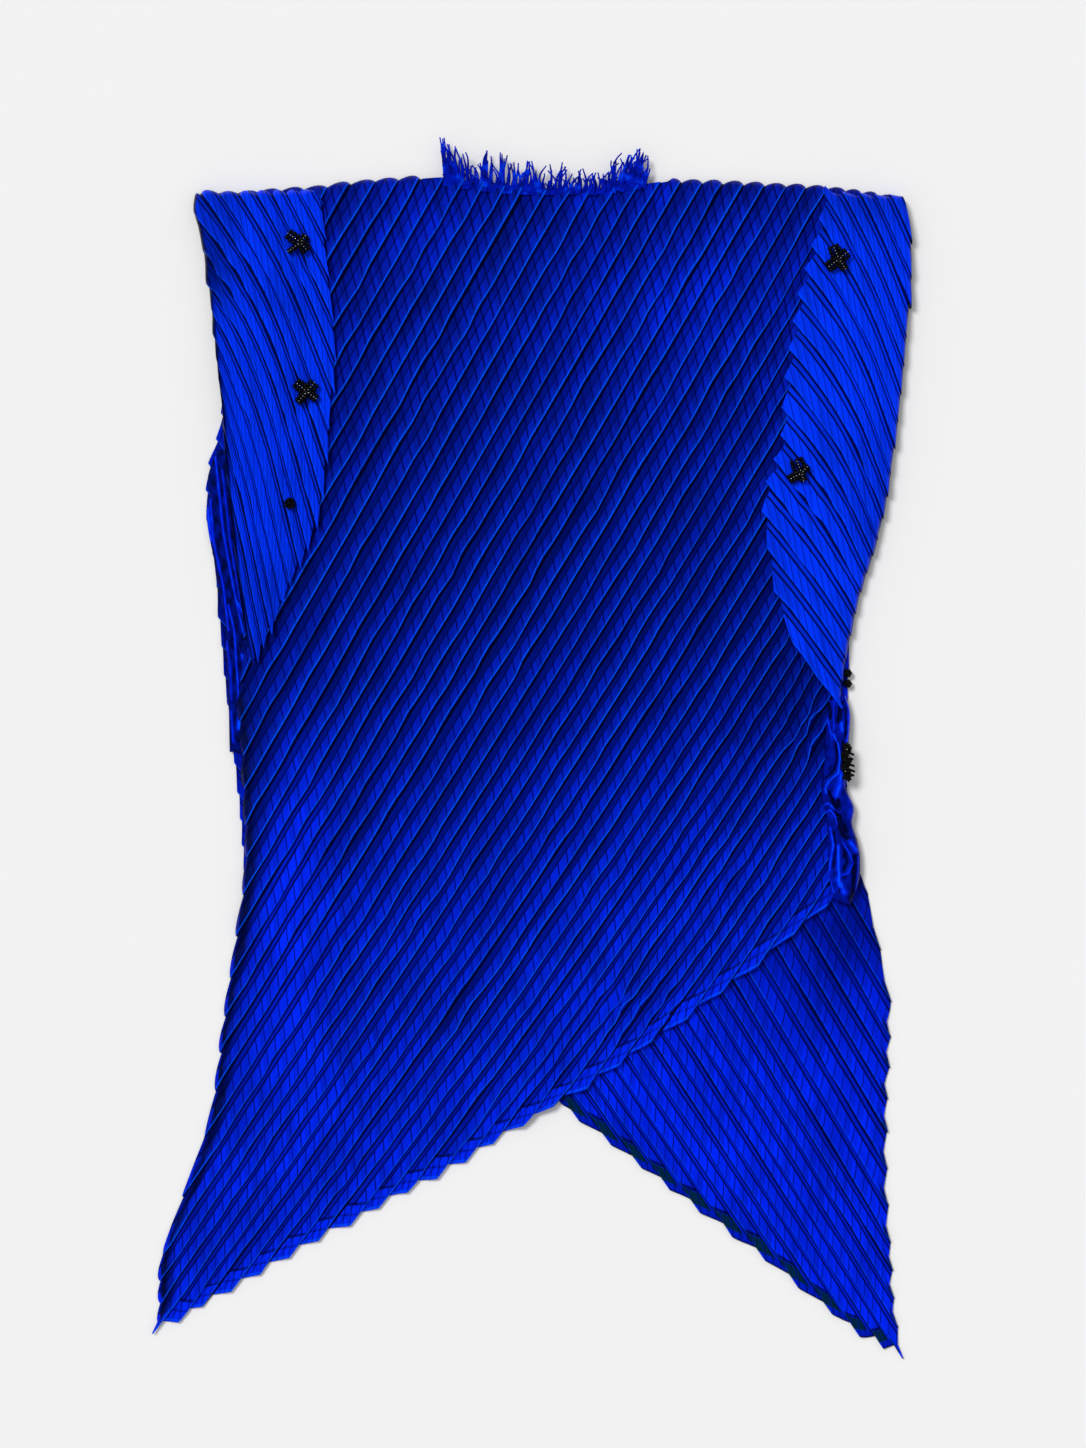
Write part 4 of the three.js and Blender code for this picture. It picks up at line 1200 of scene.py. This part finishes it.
# The right side seam is gathered in below the sleeve: the cloth crumples into a knot
# and long uneven folds fall from it to the hem's end.
TUCK_STEP = 0.0005
FOLD_CONTRAST = 1.85
FOLD_NARROWING = 0.90
UV_CELL = 0.012
RIM_STEPS = 3
MOTTLE = 0.03
MOTTLE_TURNS = (900, 500)


def crumpled(name, left, right, folds, base, lift, tone_and_painted_light, seed):
    """A patch of cloth between two sides, with the listed folds laid over it."""
    left = smooth_edge([photo_place(*p) for p in left], 0.002)
    right = smooth_edge([photo_place(*p) for p in right], 0.002)

    def resample(points, count):
        run = np.concatenate([[0], np.cumsum(np.linalg.norm(np.diff(points, axis=0), axis=1))])
        at = np.linspace(0, run[-1], count)
        return np.stack([np.interp(at, run, points[:, 0]), np.interp(at, run, points[:, 1])], axis=1)

    length = np.linalg.norm(np.diff(left, axis=0), axis=1).sum()
    rows = int(length / TUCK_STEP)
    left = resample(left, rows)
    right = resample(right, rows)
    columns = int(np.linalg.norm(right - left, axis=1).mean() / TUCK_STEP) + 2
    share = np.linspace(0, 1, columns)[:, None, None]
    plan = left[None] * (1 - share) + right[None] * share
    height = np.zeros(plan.shape[:2])
    paint = np.full(plan.shape[:2], tone_and_painted_light)
    for points, width, rise, light in folds:
        line = np.array([photo_place(*p) for p in points])
        away = np.full(plan.shape[:2], 1e9)
        for a, b in zip(line, line[1:]):
            run = b - a
            s = np.clip(((plan - a) @ run) / (run @ run), 0, 1)
            away = np.minimum(away, np.linalg.norm(plan - (a + s[..., None] * run), axis=2))
        near = np.exp(-((away / (width * FOLD_NARROWING * PIXEL)) ** 2))
        height = height + rise * near
        # Each fold's painted highlight where its light is above 0, painted shade where below
        paint = paint + light * near * FOLD_CONTRAST
    chance = np.random.default_rng(seed)
    for a, b, c in chance.normal(0, 1, (8, 3)):
        turns = plan[..., 0] * MOTTLE_TURNS[0] * a + plan[..., 1] * MOTTLE_TURNS[1] * b + c * 3
        paint = paint + MOTTLE * np.sin(turns)
    rim = np.minimum(1, np.minimum(share[..., 0], 1 - share[..., 0]) * columns / RIM_STEPS)
    rim = rim * np.minimum(1, np.minimum(np.arange(rows), np.arange(rows)[::-1]) / RIM_STEPS)[None]
    z = base + (lift + height) * rim
    grid = np.concatenate([plan, z[..., None]], axis=2)
    return cloth_object(name, grid, plan / UV_CELL, {"tone_and_painted_light": np.clip(paint, 0, 1)})


TUCK_FOLDS = [
    # path in photograph pixels, width in pixels, rise, and light: painted highlight above 0, painted shade
    # below
    ([(822, 703), (826, 714), (829, 726), (832, 740)], 0.9, 0.0014, 0.40),
    ([(826, 700), (829, 708), (830, 718)], 1.6, -0.0010, -0.30),
    ([(834, 700), (833, 715), (834, 730)], 0.8, 0.0012, 0.35),
    ([(841, 703), (840, 712), (838, 722)], 1.8, -0.0012, -0.35),
    ([(841, 723), (842, 731)], 2.3, 0.0022, 0.45),
    ([(846, 697), (849, 711), (848, 733), (845, 745)], 1.3, 0.0012, 0.38),
    ([(845, 706), (846, 722), (845, 738)], 0.8, -0.0008, -0.35),
    ([(833, 734), (838, 745), (840, 757), (838, 773), (829, 781), (825, 788), (826, 793)],
     1.1, 0.0016, 0.60),
    ([(836, 742), (837, 758), (834, 770), (826, 778)], 0.9, -0.0010, -0.35),
    ([(843, 742), (844, 756), (843, 766)], 1.5, -0.0010, -0.30),
    ([(841, 772), (840, 784), (836, 796)], 3.0, 0.0014, 0.42),
    ([(829, 792), (835, 806), (838, 818)], 1.2, -0.0014, -0.40),
    ([(838, 800), (840, 812), (843, 822), (846, 832)], 1.8, -0.0014, -0.35),
    ([(838, 818), (842, 832), (846, 838)], 2.2, -0.0012, -0.38),
    ([(822, 806), (828, 803), (834, 809), (840, 813)], 0.8, 0.0012, 0.50),
    ([(824, 813), (830, 810), (835, 816), (837, 824)], 0.8, 0.0012, 0.50),
    ([(839, 808), (842, 815), (844, 824)], 0.8, 0.0010, 0.35),
    ([(849, 796), (853, 806), (850, 818)], 2.4, 0.0010, 0.12),
    ([(847, 790), (854, 806), (852, 820)], 0.7, 0.0010, 0.30),
    ([(830, 828), (833, 845), (830, 862), (828, 876), (833, 892)], 1.4, 0.0016, 0.45),
    ([(834, 832), (836, 850), (833, 868)], 0.8, -0.0010, -0.35),
    ([(838, 846), (838, 868), (840, 886)], 2.0, 0.0014, 0.48),
    ([(843, 843), (849, 853), (853, 863), (848, 873), (842, 875)], 0.8, 0.0012, 0.45),
    ([(844, 850), (847, 862), (844, 870)], 1.5, -0.0008, -0.22),
    ([(850, 842), (856, 850)], 2.2, 0.0010, 0.40),
    ([(855, 856), (854, 880), (852, 900)], 2.4, -0.0012, -0.30),
    ([(858, 856), (857, 876), (855, 896)], 0.7, 0.0006, 0.25),
    ([(838, 880), (844, 892)], 3.2, 0.0010, 0.35),
    ([(841, 878), (839, 892)], 0.7, -0.0008, -0.35),
]
TUCK_LEFT = [
    (828, 700), (826, 730), (824, 765), (821, 790), (826, 815), (828, 845), (829, 875), (834, 900)]
TUCK_RIGHT = [
    (845, 694), (850, 712), (849, 740), (847, 765), (846, 788), (854, 808), (852, 823), (857, 840),
    (860, 856), (859, 880), (850, 905)]
tuck = crumpled(
    "side_tuck_cloth", TUCK_LEFT, TUCK_RIGHT, TUCK_FOLDS, base=0.0072, lift=0.0020, tone_and_painted_light=0.20, seed=51,
)
tuck_paint = Shader("crumpled_cloth")
tuck_tone_and_light = tuck_paint.attribute("tone_and_painted_light")
fine = tuck_paint.noise(tuck_paint.object_point(), 260.0, 3.0)
# Painted highlight on the tuck's lightest folds
satin(
    tuck_paint, level=tuck_tone_and_light * (fine * 0.5 + 0.75), fold=tuck_tone_and_light.smooth(0.80, 1.0) * 0.7,
    height=fine * 0.5, roughness=0.46 + (fine - 0.5) * 0.1,
)
tuck.data.materials.append(tuck_paint.material)
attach(tuck, "root")
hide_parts("right_side_tuck")

# Down the left side, below the sleeve, the turned-in edges of the back lie in narrow
# steep folds of their own, deep in shade between the sleeve and the front.
SIDE_FOLDS = [
    # path in photograph pixels, width in pixels, rise, and light: painted highlight above 0, painted shade
    # below
    ([(215, 457), (223, 533), (233, 587), (243, 633)], 1.1, 0.0006, 0.50),
    ([(210, 500), (213, 540), (223, 587), (228, 630)], 1.1, 0.0006, 0.45),
    ([(207, 508), (210, 540)], 1.6, 0.0004, 0.50),
    ([(222, 470), (230, 543), (240, 600), (248, 633)], 1.0, 0.0006, 0.40),
    ([(228, 605), (234, 631), (236, 663), (238, 692), (238, 703)], 1.0, 0.0006, 0.50),
    ([(238, 603), (247, 627), (250, 647), (250, 664)], 1.0, 0.0006, 0.50),
    ([(242, 655), (243, 660)], 1.6, 0.0005, 0.60),
    ([(226, 642), (230, 668), (231, 700)], 1.4, 0.0005, 0.30),
    ([(240, 710), (239, 728)], 2.6, 0.0005, 0.75),
    ([(231, 712), (233, 742)], 1.4, 0.0005, 0.35),
]
SIDE_LEFT = [
    (216, 450), (207, 478), (209, 495), (206, 514), (208, 533), (215, 567), (219, 593), (226, 630),
    (225, 648), (227, 677), (228, 705), (229, 752)]
SIDE_RIGHT = [
    (236, 448), (238, 478), (240, 500), (242, 520), (243, 545), (245, 570), (247, 595), (250, 630),
    (252, 648), (250, 677), (246, 705), (240, 752)]
# Its dark ground tone is painted shade
side = crumpled(
    "left_side_cloth", SIDE_LEFT, SIDE_RIGHT, SIDE_FOLDS, base=0.0026, lift=0.0006, tone_and_painted_light=0.07, seed=61,
)
side.data.materials.append(tuck_paint.material)
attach(side, "root")
